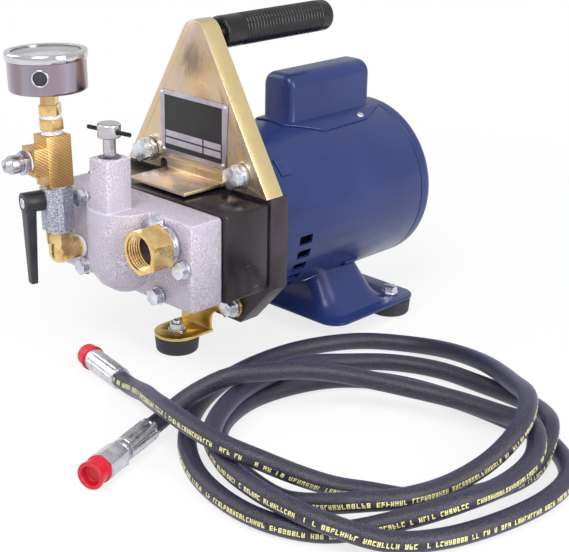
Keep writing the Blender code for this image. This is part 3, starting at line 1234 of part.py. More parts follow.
def make_front_foot(zinc, bolt_mat, rubber, frame):
    low = FOOT_HEIGHT + CLEARANCE
    top = low + SHEET
    bracket = prism('foot_bracket', foot_bracket_outline(low), BRACKET_FRONT, BRACKET_BACK, 'Y')
    join(bracket, prism('tab', foot_tab_outline(), low, top, 'Z'))
    cut(bracket, rod('stud_hole', FOOT_STUD_RADIUS + CLEARANCE, low - OVERRUN, top + OVERRUN, SMALL_STEPS,
                     at=(0, FRONT_FOOT_Y, 0)))
    for x, z in foot_bolt_places():
        cut(bracket, rod('bolt_hole', FOOT_BOLT_SHANK_RADIUS + CLEARANCE, BRACKET_FRONT - OVERRUN,
                         BRACKET_BACK + OVERRUN, SMALL_STEPS, 'Y', (x, 0, z)))
    place(bracket, zinc, frame)
    names = ['foot_bracket_bolt_left', 'foot_bracket_bolt_right']
    first = bolt_mesh(names[0], FOOT_BOLT_FLATS, FOOT_BOLT_HEAD, FOOT_BOLT_WASHER_RADIUS, FOOT_BOLT_WASHERS,
                      FOOT_BOLT_SHANK_RADIUS, SHEET + FOOT_BOLT_GRIP)
    share_bolts(names, foot_bolt_places(), BRACKET_FRONT - CLEARANCE, first, bolt_mat, frame)

    make_foot('front_foot', (0, FRONT_FOOT_Y, 0), rubber, frame)
    nut_low = top + CLEARANCE
    washer_top = nut_low + FOOT_NUT_WASHER
    nut_top = washer_top + FOOT_NUT_HEIGHT
    at = (0, FRONT_FOOT_Y, 0)
    stud = (FOOT_HEIGHT - FOOT_STUD_IN_PAD, (FOOT_STUD_RADIUS, nut_low), (FOOT_NUT_WASHER_RADIUS, washer_top),
            (FOOT_STUD_RADIUS, nut_top + FOOT_STUD_TOP))
    nut = stepped('front_foot_nut', stud, BOLT_STEPS, at=at)
    join(nut, hexagon('hex', FOOT_NUT_FLATS, washer_top - FOOT_NUT_WASHER / 2, nut_top, at=at))
    place(nut, bolt_mat, frame)


def foot_bracket_outline(low):
    """Neck that flares in two hollow curves to the round ears of its bolts."""
    ear_low = FOOT_BOLT_HEIGHT - FOOT_EAR_RADIUS
    flare_x = FOOT_NECK_HALF_WIDTH + FOOT_FILLET_RADIUS
    flare_z = ear_low - FOOT_FILLET_RADIUS
    steps = SMALL_STEPS // 2
    half = [(FOOT_NECK_HALF_WIDTH, low)]
    for i in range(steps + 1):
        a = i * math.pi / 2 / steps
        half.append((flare_x - FOOT_FILLET_RADIUS * math.cos(a), flare_z + FOOT_FILLET_RADIUS * math.sin(a)))
    for i in range(steps + 1):
        a = i * math.pi / steps - math.pi / 2
        half.append((FOOT_BOLT_X + FOOT_EAR_RADIUS * math.cos(a),
                     FOOT_BOLT_HEIGHT + FOOT_EAR_RADIUS * math.sin(a)))
    return half + [(-x, z) for x, z in reversed(half)]


def foot_tab_outline():
    half = FOOT_TAB_HALF_WIDTH
    steps = SMALL_STEPS
    round_end = [(half * math.cos(a), FRONT_FOOT_Y + half * math.sin(a)) for a in
                 [math.pi + i * math.pi / steps for i in range(steps + 1)]]
    return [(half, BRACKET_BACK), (-half, BRACKET_BACK)] + round_end


def make_foot(name, at, mat, frame):
    """A rubber pad with a blind hole for the stud that holds it."""
    hole = FOOT_STUD_RADIUS + CLEARANCE
    floor = FOOT_HEIGHT - FOOT_STUD_IN_PAD - CLEARANCE
    profile = ((0, 0), (FOOT_RADIUS - FOOT_TAPER, 0), (FOOT_RADIUS, FOOT_HEIGHT - FOOT_TAPER),
               (FOOT_RADIUS, FOOT_HEIGHT), (hole, FOOT_HEIGHT), (hole, floor), (0, floor))
    place(turned(name, profile, ROUND_STEPS, at=at), mat, frame)


# Motor

def make_shell(mat, frame):
    at = (0, 0, AXIS_HEIGHT)
    inner = SHELL_RADIUS - SHELL_WALL
    edge = SHELL_EDGE_RADIUS
    floor = SHELL_START + SHELL_FRONT_WALL
    hole = SHAFT_RADIUS + CLEARANCE
    profile = ((hole, SHELL_START), (SHELL_RADIUS - edge, SHELL_START), (SHELL_RADIUS, SHELL_START + edge),
               (SHELL_RADIUS, SHELL_END), (inner, SHELL_END), (inner, floor), (hole, floor))
    shell = turned('motor_shell', profile, FINE_STEPS, 'Y', at, ring=True)
    for side in (1, -1):
        for i in range(VENT_COUNT):
            cut(shell, make_vent(side, VENT_FIRST_ANGLE - i * VENT_PITCH_ANGLE))
    add_cord_gland(shell)
    place(shell, mat, frame)


def add_cord_gland(shell):
    """A boss on the shell's left side with the hole for the supply cord."""
    at = (0, SHELL_END - GLAND_BEFORE_END, AXIS_HEIGHT)
    end = -SHELL_RADIUS - GLAND_RISE
    join(shell, rod('cord_gland', GLAND_RADIUS, end, -SHELL_RADIUS + SHELL_WALL / 2, ROUND_STEPS, 'X', at))
    cut(shell, rod('cord_hole', GLAND_HOLE_RADIUS, end - OVERRUN, -SHELL_RADIUS + OVERRUN,
                   SMALL_STEPS, 'X', at))


def make_vent(side, angle):
    """A cutter for one rectangular vent at an angle above the horizon on one side."""
    start = SHELL_START + VENT_START
    vent = box('vent', (SHELL_RADIUS - OVERRUN, start, -VENT_HEIGHT / 2),
               (SHELL_RADIUS + OVERRUN, start + VENT_LENGTH, VENT_HEIGHT / 2))
    turn = -angle if side > 0 else math.pi + angle
    vent.data.transform(Matrix.Translation((0, 0, AXIS_HEIGHT)) @ Matrix.Rotation(turn, 4, 'Y'))
    return vent


def make_bell(mat, frame):
    """Rear bell: a rounded dish with a spigot in the shell, slots round its face and a bearing hole."""
    at = (0, 0, AXIS_HEIGHT)
    spigot = SHELL_RADIUS - SHELL_WALL - CLEARANCE
    inner = spigot - BELL_WALL
    shoulder = BELL_START + BELL_SHOULDER
    half_way = (BELL_START + BELL_END + BELL_SHOULDER) / 2
    middle_radius = (SHELL_RADIUS + BELL_END_RADIUS) / 2 + BELL_WALL
    hole = SHAFT_RADIUS + CLEARANCE
    profile = ((inner, BELL_START - BELL_SPIGOT), (spigot, BELL_START - BELL_SPIGOT), (spigot, BELL_START),
               (SHELL_RADIUS, BELL_START), (SHELL_RADIUS, shoulder), (middle_radius, half_way),
               (BELL_END_RADIUS, BELL_END), (hole, BELL_END), (hole, BELL_END - BELL_WALL),
               (BELL_END_RADIUS - BELL_WALL, BELL_END - BELL_WALL), (inner, shoulder))
    bell = turned('motor_rear_bell', profile, FINE_STEPS, 'Y', at, ring=True)
    for i in range(BELL_SLOTS):
        near = BELL_SLOT_RADIUS - BELL_SLOT_LENGTH / 2
        far = BELL_SLOT_RADIUS + BELL_SLOT_LENGTH / 2
        half = BELL_SLOT_WIDTH / 2
        slot = box('slot', (near, BELL_END - BELL_WALL - OVERRUN, -half), (far, BELL_END + OVERRUN, half))
        turn = Matrix.Rotation((i + 0.5) * 2 * math.pi / BELL_SLOTS, 4, 'Y')
        slot.data.transform(Matrix.Translation(at) @ turn)
        cut(bell, slot)
    place(bell, mat, frame)


def make_motor_works(stator_mat, steel, frame):
    at = (0, 0, AXIS_HEIGHT)
    outer = SHELL_RADIUS - SHELL_WALL - CLEARANCE
    start = SHELL_START + STATOR_START
    end = SHELL_END - STATOR_END_ROOM
    profile = ((STATOR_INNER_RADIUS, start), (outer, start), (outer, end), (STATOR_INNER_RADIUS, end))
    place(turned('stator', profile, FINE_STEPS, 'Y', at, ring=True), stator_mat, frame)
    nose = SWASH_BEHIND_FLANGE_FACE - swash_sweep()
    tail = BELL_END - SHAFT_TAIL
    rotor_start = start + ROTOR_INSET
    rotor_end = end - ROTOR_INSET
    rotor = STATOR_INNER_RADIUS - 2 * CLEARANCE
    profile = ((0, nose), (SHAFT_RADIUS, nose), (SHAFT_RADIUS, rotor_start), (rotor, rotor_start),
               (rotor, rotor_end), (SHAFT_RADIUS, rotor_end), (SHAFT_RADIUS, tail), (0, tail))
    place(turned('rotor_shaft', profile, ROUND_STEPS, 'Y', at), steel, frame, origin=(0, nose, AXIS_HEIGHT))


def make_capacitor_cover(mat, frame):
    """Rounded cover over the shell with the saddle sheet that it is pressed from."""
    at = (0, 0, AXIS_HEIGHT)
    start = SHELL_START + COVER_START
    end = start + COVER_LENGTH
    seat = SHELL_RADIUS + CLEARANCE
    deep = AXIS_HEIGHT + SHELL_RADIUS * math.cos(math.asin(COVER_HALF_WIDTH / SHELL_RADIUS)) - OVERRUN
    top = AXIS_HEIGHT + COVER_TOP_OVER_AXIS
    outline = cover_outline(COVER_HALF_WIDTH, COVER_TOP_RADIUS, deep, top)
    cover = prism('capacitor_cover', outline, start, end, 'Y')
    soften(cover, COVER_END_RADIUS, COVER_END_SEGMENTS, COVER_END_ANGLE)
    saddle_top = AXIS_HEIGHT + SHELL_RADIUS + OVERRUN
    saddle = prism('saddle', saddle_outline(start), AXIS_HEIGHT + CLEARANCE, saddle_top, 'Z')
    combine(saddle, rod('saddle_round', seat + SADDLE_WALL, start - COVER_LENGTH, end + COVER_LENGTH,
                        FINE_STEPS, 'Y', at), 'INTERSECT')
    join(cover, saddle)
    wall = COVER_WALL
    inside = cover_outline(COVER_HALF_WIDTH - wall, COVER_TOP_RADIUS - wall, AXIS_HEIGHT - OVERRUN,
                           top - wall)
    cut(cover, prism('inside', inside, start + wall, end - wall, 'Y'))
    cut(cover, rod('seat', seat, start - COVER_LENGTH, end + COVER_LENGTH, FINE_STEPS, 'Y', at))
    place(cover, mat, frame)


def cover_outline(half, radius, low, top):
    steps = COVER_STEPS
    right = [(half - radius + radius * math.cos(a), top - radius + radius * math.sin(a)) for a in
             [i * math.pi / 2 / steps for i in range(steps + 1)]]
    return [(half, low)] + right + [(-x, z) for x, z in reversed(right)] + [(-half, low)]


def saddle_outline(start):
    right = [(COVER_HALF_WIDTH * wide, start + COVER_LENGTH * along) for along, wide in
             zip(SADDLE_LENGTH_SHARES, SADDLE_WIDTH_SHARES)]
    return right + [(-x, y) for x, y in reversed(right)]


def base_outline():
    """Plan of the base plate, with round corners."""
    start = BASE_START
    end = BASE_START + BASE_LENGTH
    radius = BASE_CORNER_RADIUS
    corners = ((BASE_HALF_WIDTH, start, -90), (BASE_HALF_WIDTH, end, 0), (-BASE_HALF_WIDTH, end, 90),
               (-BASE_HALF_WIDTH, start, 180))
    points = []
    for x, y, first in corners:
        cx = x - math.copysign(radius, x)
        cy = y + (radius if y == start else -radius)
        for i in range(BASE_CORNER_STEPS + 1):
            a = math.radians(first) + i * math.pi / 2 / BASE_CORNER_STEPS
            points.append((cx + radius * math.cos(a), cy + radius * math.sin(a)))
    return points


def cradle(name, inset, low):
    """Pressed pyramid between the plate and the shell; inset draws it in by the sheet."""
    bm = bmesh.new()
    start = BASE_START + CRADLE_BASE_FRONT_INSET + inset
    end = BASE_START + BASE_LENGTH - CRADLE_BASE_REAR_INSET - inset
    top_start = BASE_START + CRADLE_TOP_FRONT_INSET + inset
    top_end = BASE_START + BASE_LENGTH - CRADLE_TOP_REAR_INSET - inset
    levels = ((BASE_HALF_WIDTH - CRADLE_BASE_SIDE_INSET - inset, start, end, low),
              (CRADLE_TOP_HALF_WIDTH - inset, top_start, top_end, BASE_TOP + CRADLE_HEIGHT))
    rings = []
    for half, y0, y1, z in levels:
        corners = ((-half, y0, z), (half, y0, z), (half, y1, z), (-half, y1, z))
        rings.append([bm.verts.new(corner) for corner in corners])
    for ring in rings:
        bm.faces.new(ring)
    for i in range(len(rings[0])):
        j = (i + 1) % len(rings[0])
        bm.faces.new((rings[0][i], rings[0][j], rings[1][j], rings[1][i]))
    return object_from(name, bm)


def make_base(mat, frame):
    base = prism('motor_base', base_outline(), BASE_LOW, BASE_TOP, 'Z')
    join(base, soften(cradle('cradle', 0, BASE_TOP - SHEET / 2), SHEET))
    cut(base, cradle('hollow', SHEET, BASE_LOW - OVERRUN))
    end = BASE_START + BASE_LENGTH
    cut(base, rod('shell_seat', SHELL_RADIUS + CLEARANCE, BASE_START - OVERRUN, end + OVERRUN,
                  FINE_STEPS, 'Y', (0, 0, AXIS_HEIGHT)))
    for x in (-REAR_FOOT_X, REAR_FOOT_X):
        cut(base, rod('stud_hole', FOOT_STUD_RADIUS + CLEARANCE, BASE_LOW - OVERRUN, BASE_TOP + OVERRUN,
                      SMALL_STEPS, at=(x, REAR_FOOT_Y, 0)))
    place(base, mat, frame)


def make_rear_feet(rubber, bolt_mat, frame):
    for side, x in (('left', -REAR_FOOT_X), ('right', REAR_FOOT_X)):
        at = (x, REAR_FOOT_Y, 0)
        make_foot(f'rear_foot_{side}', at, rubber, frame)
        low = BASE_TOP + CLEARANCE
        washer_top = low + BASE_BOLT_WASHER
        stud = (FOOT_HEIGHT - FOOT_STUD_IN_PAD, (FOOT_STUD_RADIUS, low),
                (BASE_BOLT_WASHER_RADIUS, washer_top))
        bolt = stepped(f'rear_foot_bolt_{side}', stud, BOLT_STEPS, at=at)
        head_low = washer_top - BASE_BOLT_WASHER / 2
        join(bolt, hexagon('head', BASE_BOLT_FLATS, head_low, washer_top + BASE_BOLT_HEAD, at=at))
        place(bolt, bolt_mat, frame)


# Delivery hose and its fittings

def fitting_matrix(hose_end, heading, length):
    """Takes a fitting built along +X, from its free end at 0, to its place on the floor."""
    return (Matrix.Translation((*hose_end, FITTING_HEIGHT)) @ Matrix.Rotation(heading, 4, 'Z')
            @ Matrix.Translation((-length, 0, 0)))


def set_fitting(obj, matrix, mat, frame, along=0):
    """Lays a piece along its fitting's axis, with its origin on that axis."""
    obj.data.transform(matrix)
    return place(obj, mat, frame, origin=matrix @ Vector((along, 0, 0)))


def flute(ferrule, start, end):
    """Cuts long shallow grooves round a ferrule."""
    out = FERRULE_RADIUS + FLUTE_RADIUS - FLUTE_DEPTH
    for i in range(FERRULE_FLUTES):
        a = 2 * math.pi * (i + 0.5) / FERRULE_FLUTES
        at = (0, out * math.cos(a), out * math.sin(a))
        cut(ferrule, rod('flute', FLUTE_RADIUS, start, end, HEX_SIDES, 'X', at))


def ferrule_a_start():
    return CAP_A_LENGTH + CLEARANCE


def fitting_a_length():
    return ferrule_a_start() + FERRULE_A_LENGTH


def nut_b_start():
    return CAP_B_LENGTH + CLEARANCE


def ferrule_b_start():
    return nut_b_start() + HOSE_NUT_LENGTH + SWIVEL_LENGTH


def fitting_b_length():
    return ferrule_b_start() + FERRULE_B_LENGTH


def make_fitting_a(steel, red, frame):
    """Plain end: a fluted ferrule whose tip wears a domed cap."""
    start = ferrule_a_start()
    length = fitting_a_length()
    matrix = fitting_matrix(FITTING_A_HOSE_END, FITTING_A_HEADING, length)
    tip = CAP_WALL + CLEARANCE
    chamfer = FLUTE_DEPTH
    profile = ((0, tip), (TIP_RADIUS, tip), (TIP_RADIUS, start), (FERRULE_RADIUS - chamfer, start),
               (FERRULE_RADIUS, start + chamfer), (FERRULE_RADIUS, length - chamfer),
               (FERRULE_RADIUS - chamfer, length), (0, length))
    ferrule = turned('hose_ferrule_a', profile, ROUND_STEPS, 'X')
    flute(ferrule, start + CAP_RIM, length - CAP_RIM)
    cut(ferrule, rod('bore', FERRULE_BORE_RADIUS, -OVERRUN, length + OVERRUN, SMALL_STEPS, 'X'))
    set_fitting(ferrule, matrix, steel, frame)

    inner = TIP_RADIUS + CLEARANCE
    shoulder = CAP_WAIST_RADIUS - CAP_WALL
    rim_start = CAP_A_LENGTH - CAP_RIM
    profile = ((0, 0), (shoulder, 0), (CAP_WAIST_RADIUS, CAP_WALL), (CAP_WAIST_RADIUS, rim_start),
               (CAP_RADIUS, rim_start), (CAP_RADIUS, CAP_A_LENGTH), (inner, CAP_A_LENGTH),
               (inner, CAP_WALL), (0, CAP_WALL))
    set_fitting(turned('hose_cap_a', profile, ROUND_STEPS, 'X'), matrix, red, frame)


def make_fitting_b(steel, red, frame):
    """Swivel end: a nut that turns on the ferrule's nose, with a dished cap pushed into it."""
    nut_start = nut_b_start()
    nut_end = nut_start + HOSE_NUT_LENGTH
    ferrule_start = ferrule_b_start()
    length = fitting_b_length()
    matrix = fitting_matrix(FITTING_B_HOSE_END, FITTING_B_HEADING, length)
    chamfer = FLUTE_DEPTH
    wall_front = nut_end - HOSE_NUT_BACK_WALL
    nose_end = wall_front - CLEARANCE
    nose = HOSE_NUT_BORE_RADIUS - CLEARANCE
    profile = ((0, nose_end - SWIVEL_NOSE), (nose, nose_end - SWIVEL_NOSE), (nose, nose_end),
               (SWIVEL_RADIUS, nose_end), (SWIVEL_RADIUS, ferrule_start),
               (FERRULE_RADIUS - chamfer, ferrule_start),
               (FERRULE_RADIUS, ferrule_start + chamfer), (FERRULE_RADIUS, length - chamfer),
               (FERRULE_RADIUS - chamfer, length), (0, length))
    ferrule = turned('hose_ferrule_b', profile, ROUND_STEPS, 'X')
    flute(ferrule, ferrule_start + CAP_RIM, length - CAP_RIM)
    cut(ferrule, rod('bore', FERRULE_BORE_RADIUS, nut_start, length + OVERRUN, SMALL_STEPS, 'X'))
    set_fitting(ferrule, matrix, steel, frame)

    nut = prism('hose_nut_b', polygon(HOSE_NUT_FLATS, HEX_SIDES), nut_start, nut_end, 'X')
    cut(nut, rod('thread', HOSE_NUT_BORE_RADIUS, nut_start - OVERRUN, wall_front, ROUND_STEPS, 'X'))
    cut(nut, rod('neck', SWIVEL_RADIUS + CLEARANCE, nut_start, nut_end + OVERRUN, ROUND_STEPS, 'X'))
    set_fitting(nut, matrix, steel, frame, nut_start)

    spigot = HOSE_NUT_BORE_RADIUS - CLEARANCE
    waist = CAP_B_LENGTH - CAP_RIM
    profile = ((0, CAP_DISH_DEPTH), (CAP_DISH_RADIUS - CAP_WALL, CAP_DISH_DEPTH), (CAP_DISH_RADIUS, 0),
               (CAP_RADIUS, 0), (CAP_RADIUS, CAP_RIM), (CAP_WAIST_RADIUS, CAP_RIM), (CAP_WAIST_RADIUS, waist),
               (CAP_RADIUS, waist), (CAP_RADIUS, CAP_B_LENGTH), (spigot, CAP_B_LENGTH),
               (spigot, CAP_B_LENGTH + CAP_SPIGOT), (0, CAP_B_LENGTH + CAP_SPIGOT))
    set_fitting(turned('hose_cap_b', profile, ROUND_STEPS, 'X'), matrix, red, frame)


def smooth_points(route, count):
    """Evenly spaced points on a smooth curve through all but the first and last of the route's."""
    dense = []
    for a, b, c, d in zip(route, route[1:], route[2:], route[3:]):
        for i in range(CURVE_STEPS):
            t = i / CURVE_STEPS
            dense.append(((2 * b) + (c - a) * t + (2 * a - 5 * b + 4 * c - d) * t ** 2
                          + (3 * b - a - 3 * c + d) * t ** 3) / 2)
    dense.append(route[-2])
    lengths = [0]
    for a, b in zip(dense, dense[1:]):
        lengths.append(lengths[-1] + (b - a).length)
    points = []
    j = 0
    for i in range(count):
        target = lengths[-1] * i / (count - 1)
        while j < len(lengths) - 2 and lengths[j + 1] < target:
            j += 1
        points.append(dense[j].lerp(dense[j + 1], (target - lengths[j]) / (lengths[j + 1] - lengths[j])))
    return points


def hose_points():
    ends = []
    for end, heading in ((FITTING_A_HOSE_END, FITTING_A_HEADING), (FITTING_B_HOSE_END, FITTING_B_HEADING)):
        forward = Vector((math.cos(heading), math.sin(heading), 0))
        start = Vector((*end, FITTING_HEIGHT)) + forward * CLEARANCE
        ends.append((start, start + forward * 2 * HOSE_RADIUS))
    (start, after), (end, before) = ends
    inner = smooth_points([start, after] + [Vector(p) for p in HOSE_ROUTE] + [before, end], HOSE_POINTS)
    return [start] + inner + [end]


def least_gap(points, radius):
    """Least gap between stretches of a tube that lie more than a few diameters apart along it."""
    fine = smooth_points([points[0]] + points + [points[-1]], HOSE_POINTS * 4)
    step = (fine[1] - fine[0]).length
    apart = int(8 * radius / step)
    return min((a - b).length for i, a in enumerate(fine) for b in fine[i + apart:]) - 2 * radius


def make_hose(mat, frame):
    points = hose_points()
    length = sum((b - a).length for a, b in zip(points, points[1:]))
    print(f'hose length {length:.3f} m, least gap to itself {1000 * least_gap(points, HOSE_RADIUS):.2f} mm')
    hose = tube('hose', points, HOSE_RADIUS, HOSE_SIDES_RESOLUTION)
    hose.parent = frame
    hose.data.materials.append(mat)


# Everything together

def make_materials():
    looks = {
        'head_aluminium': ((0.62, 0.61, 0.66), 0.42, 0.9),
        'zinc': ((0.72, 0.72, 0.72), 0.3, 1.0),
        'steel': ((0.62, 0.62, 0.63), 0.28, 1.0),
        'dark_steel': ((0.06, 0.06, 0.065), 0.4, 0.8),
        'spring_steel': ((0.45, 0.45, 0.46), 0.35, 1.0),
        'brass': ((0.78, 0.56, 0.24), 0.28, 1.0),
        'valve_zinc': ((0.5, 0.5, 0.48), 0.5, 0.9),
        'gauge_steel': ((0.68, 0.68, 0.68), 0.35, 1.0),
        'bezel_chrome': ((0.82, 0.82, 0.83), 0.12, 1.0),
        'dial_white': ((0.92, 0.92, 0.9), 0.5, 0.0),
        'lens_glass': ((0.9, 0.93, 0.94), 0.05, 0.0),
        'pointer_black': ((0.02, 0.02, 0.02), 0.4, 0.0),
        'plug_rubber': ((0.02, 0.02, 0.022), 0.6, 0.0),
        'lever_black': ((0.02, 0.02, 0.022), 0.35, 0.0),
        'case_black': ((0.012, 0.012, 0.014), 0.18, 0.0),
        'yellow_zinc': ((0.78, 0.6, 0.26), 0.3, 1.0),
        'grip_rubber': ((0.02, 0.02, 0.022), 0.45, 0.0),
        'plate_print': ((0.12, 0.12, 0.13), 0.4, 0.6),
        'flange_zinc': ((0.55, 0.55, 0.57), 0.4, 0.9),
        'motor_blue': ((0.012, 0.02, 0.09), 0.22, 0.0),
        'stator_iron': ((0.2, 0.2, 0.21), 0.5, 0.9),
        'foot_rubber': ((0.015, 0.015, 0.016), 0.6, 0.0),
        'screen_mesh': ((0.4, 0.4, 0.4), 0.5, 0.9),
        'hose_rubber': ((0.03, 0.028, 0.04), 0.45, 0.0),
        'ferrule_steel': ((0.7, 0.7, 0.71), 0.25, 1.0),
        'cap_red': ((0.72, 0.02, 0.05), 0.3, 0.0),
    }
    return {name: material(name, *look) for name, look in looks.items()}


def main():
    clear_scene()
    m = make_materials()
    middle_x, middle_y = pump_box_middle()
    frame = empty('pump_frame', (-middle_x, -middle_y, 0))
    stack = empty('stack_frame', STACK_AT, frame)
    stack.rotation_euler = (0, -STACK_LEAN, 0)
    valve = empty('valve_frame', (0, 0, 0), stack)
    valve.rotation_euler = (0, 0, -VALVE_TURN)
    tee = empty('tee_frame', (0, 0, 0), stack)
    tee.rotation_euler = (0, 0, -TEE_TURN)

    make_head(m['head_aluminium'], frame)
    make_head_bolts(m['zinc'], frame)
    make_inlet(m['steel'], m['brass'], m['screen_mesh'], frame)
    make_relief_valve(m['steel'], m['dark_steel'], m['spring_steel'], frame)
    make_elbow(m['brass'], stack)
    make_valve(m['valve_zinc'], m['steel'], m['lever_black'], valve)
    make_tee(m['brass'], m['steel'], tee)
    gauge_looks = ('brass', 'gauge_steel', 'bezel_chrome', 'dial_white', 'lens_glass', 'pointer_black',
                   'plug_rubber')
    make_gauge([m[look] for look in gauge_looks], stack)
    make_crankcase(m['case_black'], frame)
    make_flange(m['flange_zinc'], frame)
    make_pumping_works(m['steel'], frame)
    make_bracket(m['yellow_zinc'], frame)
    make_grip(m['grip_rubber'], frame)
    make_bracket_bolts(m['zinc'], frame)
    make_nameplate(m['plate_print'], frame)
    make_front_foot(m['yellow_zinc'], m['zinc'], m['foot_rubber'], frame)
    make_shell(m['motor_blue'], frame)
    make_bell(m['motor_blue'], frame)
    make_motor_works(m['stator_iron'], m['steel'], frame)
    make_capacitor_cover(m['motor_blue'], frame)
    make_base(m['motor_blue'], frame)
    make_rear_feet(m['foot_rubber'], m['zinc'], frame)
    make_fitting_a(m['ferrule_steel'], m['cap_red'], frame)
    make_fitting_b(m['ferrule_steel'], m['cap_red'], frame)
    make_hose(m['hose_rubber'], frame)


main()
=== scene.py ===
"""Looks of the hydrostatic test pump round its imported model. Metres, +Z up, +Y towards the motor's rear."""

import json
import math

import bmesh
import bpy
from mathutils import Matrix, Vector

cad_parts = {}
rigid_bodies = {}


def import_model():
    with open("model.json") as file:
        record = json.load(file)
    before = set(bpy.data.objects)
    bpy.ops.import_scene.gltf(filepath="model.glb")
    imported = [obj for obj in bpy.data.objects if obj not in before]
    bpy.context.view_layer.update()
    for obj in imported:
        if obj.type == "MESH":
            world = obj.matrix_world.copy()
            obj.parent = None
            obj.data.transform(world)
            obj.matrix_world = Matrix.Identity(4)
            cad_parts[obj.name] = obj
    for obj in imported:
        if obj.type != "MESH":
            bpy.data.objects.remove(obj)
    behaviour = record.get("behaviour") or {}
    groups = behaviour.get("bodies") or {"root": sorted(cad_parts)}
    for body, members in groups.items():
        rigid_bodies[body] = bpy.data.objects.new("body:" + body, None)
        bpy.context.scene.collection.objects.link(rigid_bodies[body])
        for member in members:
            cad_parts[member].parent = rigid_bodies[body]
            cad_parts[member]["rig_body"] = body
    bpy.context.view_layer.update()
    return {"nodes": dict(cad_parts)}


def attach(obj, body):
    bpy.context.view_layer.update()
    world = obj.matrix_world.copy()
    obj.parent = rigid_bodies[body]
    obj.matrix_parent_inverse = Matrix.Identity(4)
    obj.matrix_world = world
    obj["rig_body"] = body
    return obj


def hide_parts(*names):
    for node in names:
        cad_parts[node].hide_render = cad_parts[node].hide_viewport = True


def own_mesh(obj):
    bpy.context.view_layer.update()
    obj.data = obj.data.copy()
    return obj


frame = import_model()


def turning(degrees, axis):
    return Matrix.Rotation(math.radians(degrees), 4, axis)


# The model is laid out with y = 0 at the flange's front face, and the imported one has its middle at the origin
MIDDLE = Vector((-0.00161893, 0.03876549, 0))
TO_MIDDLE = Matrix.Translation(-MIDDLE)
GAP = 0.0003
OVERRUN = 0.004
WELD = 0.000001
SEAM = 0.0000001
ROUND = 64
FINE = 128
SMALL = 24
SHARP = math.radians(32)
WHITE = (1, 1, 1, 1)

# Shaft line and motor
AXIS = 0.101
MOTOR_AT = (0, 0, AXIS)
SHELL_RADIUS = 0.071
SHELL_WALL = 0.0025
SHELL_START = 0.0191
SHELL_END = 0.1975
SHELL_EDGE = 0.002
VENTS = 5
VENT_FIRST = 6
VENT_STEP = 10.5
VENT_FRONT = 0.0446
VENT_REAR = 0.0594
VENT_HALF = 0.0039
GLAND_AT = (0, SHELL_END - 0.017, AXIS)
GLAND_RADIUS = 0.0088
GLAND_FACE = -0.0805
GLAND_ROOT = -0.069
CORD_HOLE = 0.0038
BELL_START = 0.1978
BELL_END = 0.2158
BELL_SHOULDER = 0.007
BELL_FACE = 0.054
BELL_WALL = 0.003
BELL_SPIGOT = 0.006
BELL_SLOTS = 8
SLOT_INNER = 0.029
SLOT_OUTER = 0.047
SLOT_HALF = 0.0025
SHAFT_HOLE = 0.0082
COVER_START = 0.0886
COVER_LENGTH = 0.0985
COVER_HALF = 0.0168
COVER_TOP = 0.2105
COVER_ROUND = 0.0115
COVER_END_ROUND = 0.006
SADDLE_RISE = 0.0012

# Motor base
SHEET = 0.0025
BASE_HALF = 0.0855
BASE_START = 0.0742
BASE_LENGTH = 0.1088
BASE_CORNER = 0.016
BASE_TOP = 0.0164
DOME_HALF = 0.0705
DOME_FRONT = 0.0862
DOME_REAR = 0.1535
DOME_TOP_HALF = 0.0455
DOME_TOP_FRONT = 0.0922
DOME_TOP_REAR = 0.146
DOME_HEIGHT = 0.034
DOME_FOOT = 0.004
DOME_FLARE = 0.25
DOME_CORNER = 0.017
DOME_STEPS = 12
CORNER_STEPS = 8

# Bracket, grip and plate
CREASE_LOW = (0.0722, 0.1428)
CREASE_HIGH = (0.0046, 0.2585)
CREASE_HALF = 0.00022
HANDLE = 0.2516
GRIP_RADIUS = 0.0127
GRIP_START = 0.0225
GRIP_LENGTH = 0.121
RIBS = 26
RIB_START = 0.02
RIB_PITCH = 0.0034
RIB_DEPTH = 0.0007
GRIP_END = 0.004
STUD_RADIUS = 0.0048
STUD_END = 0.1195
PLATE_LOW = 0.1551
PLATE_HIGH = 0.2058
PLATE_HALF = 0.0385
PLATE_TAPER = 0.0022
PLATE_FRONT = -0.0043
PLATE_BACK = -0.0031
PLATE_BORDER = 0.0036
FILM = 0.00012
ROW_HEIGHT = 0.0048
ROW_PITCH = 0.0062
RIVET_INSET = 0.0026
RIVET_RADIUS = 0.0016
RIVET_HEIGHT = 0.0009

# Feet
FOOT_RADIUS = 0.0182
FOOT_HEIGHT = 0.0136
FOOT_TAPER = 0.0012
FOOT_HOLE = 0.0033
FOOT_FLOOR = 0.0065
FEET = (('front_foot', 0, -0.023), ('rear_foot_left', -0.0677, 0.1644), ('rear_foot_right', 0.0677, 0.1644))

# Inlet
INLET_AT = (0.0535, 0, 0.1175)
COLLAR_START = -0.0856
COLLAR_END = -0.0788
COLLAR_BORE = 0.0101
THREADS_START = -0.1058
THREADS_LENGTH = 0.013
THREADS_OUTER = 0.0136

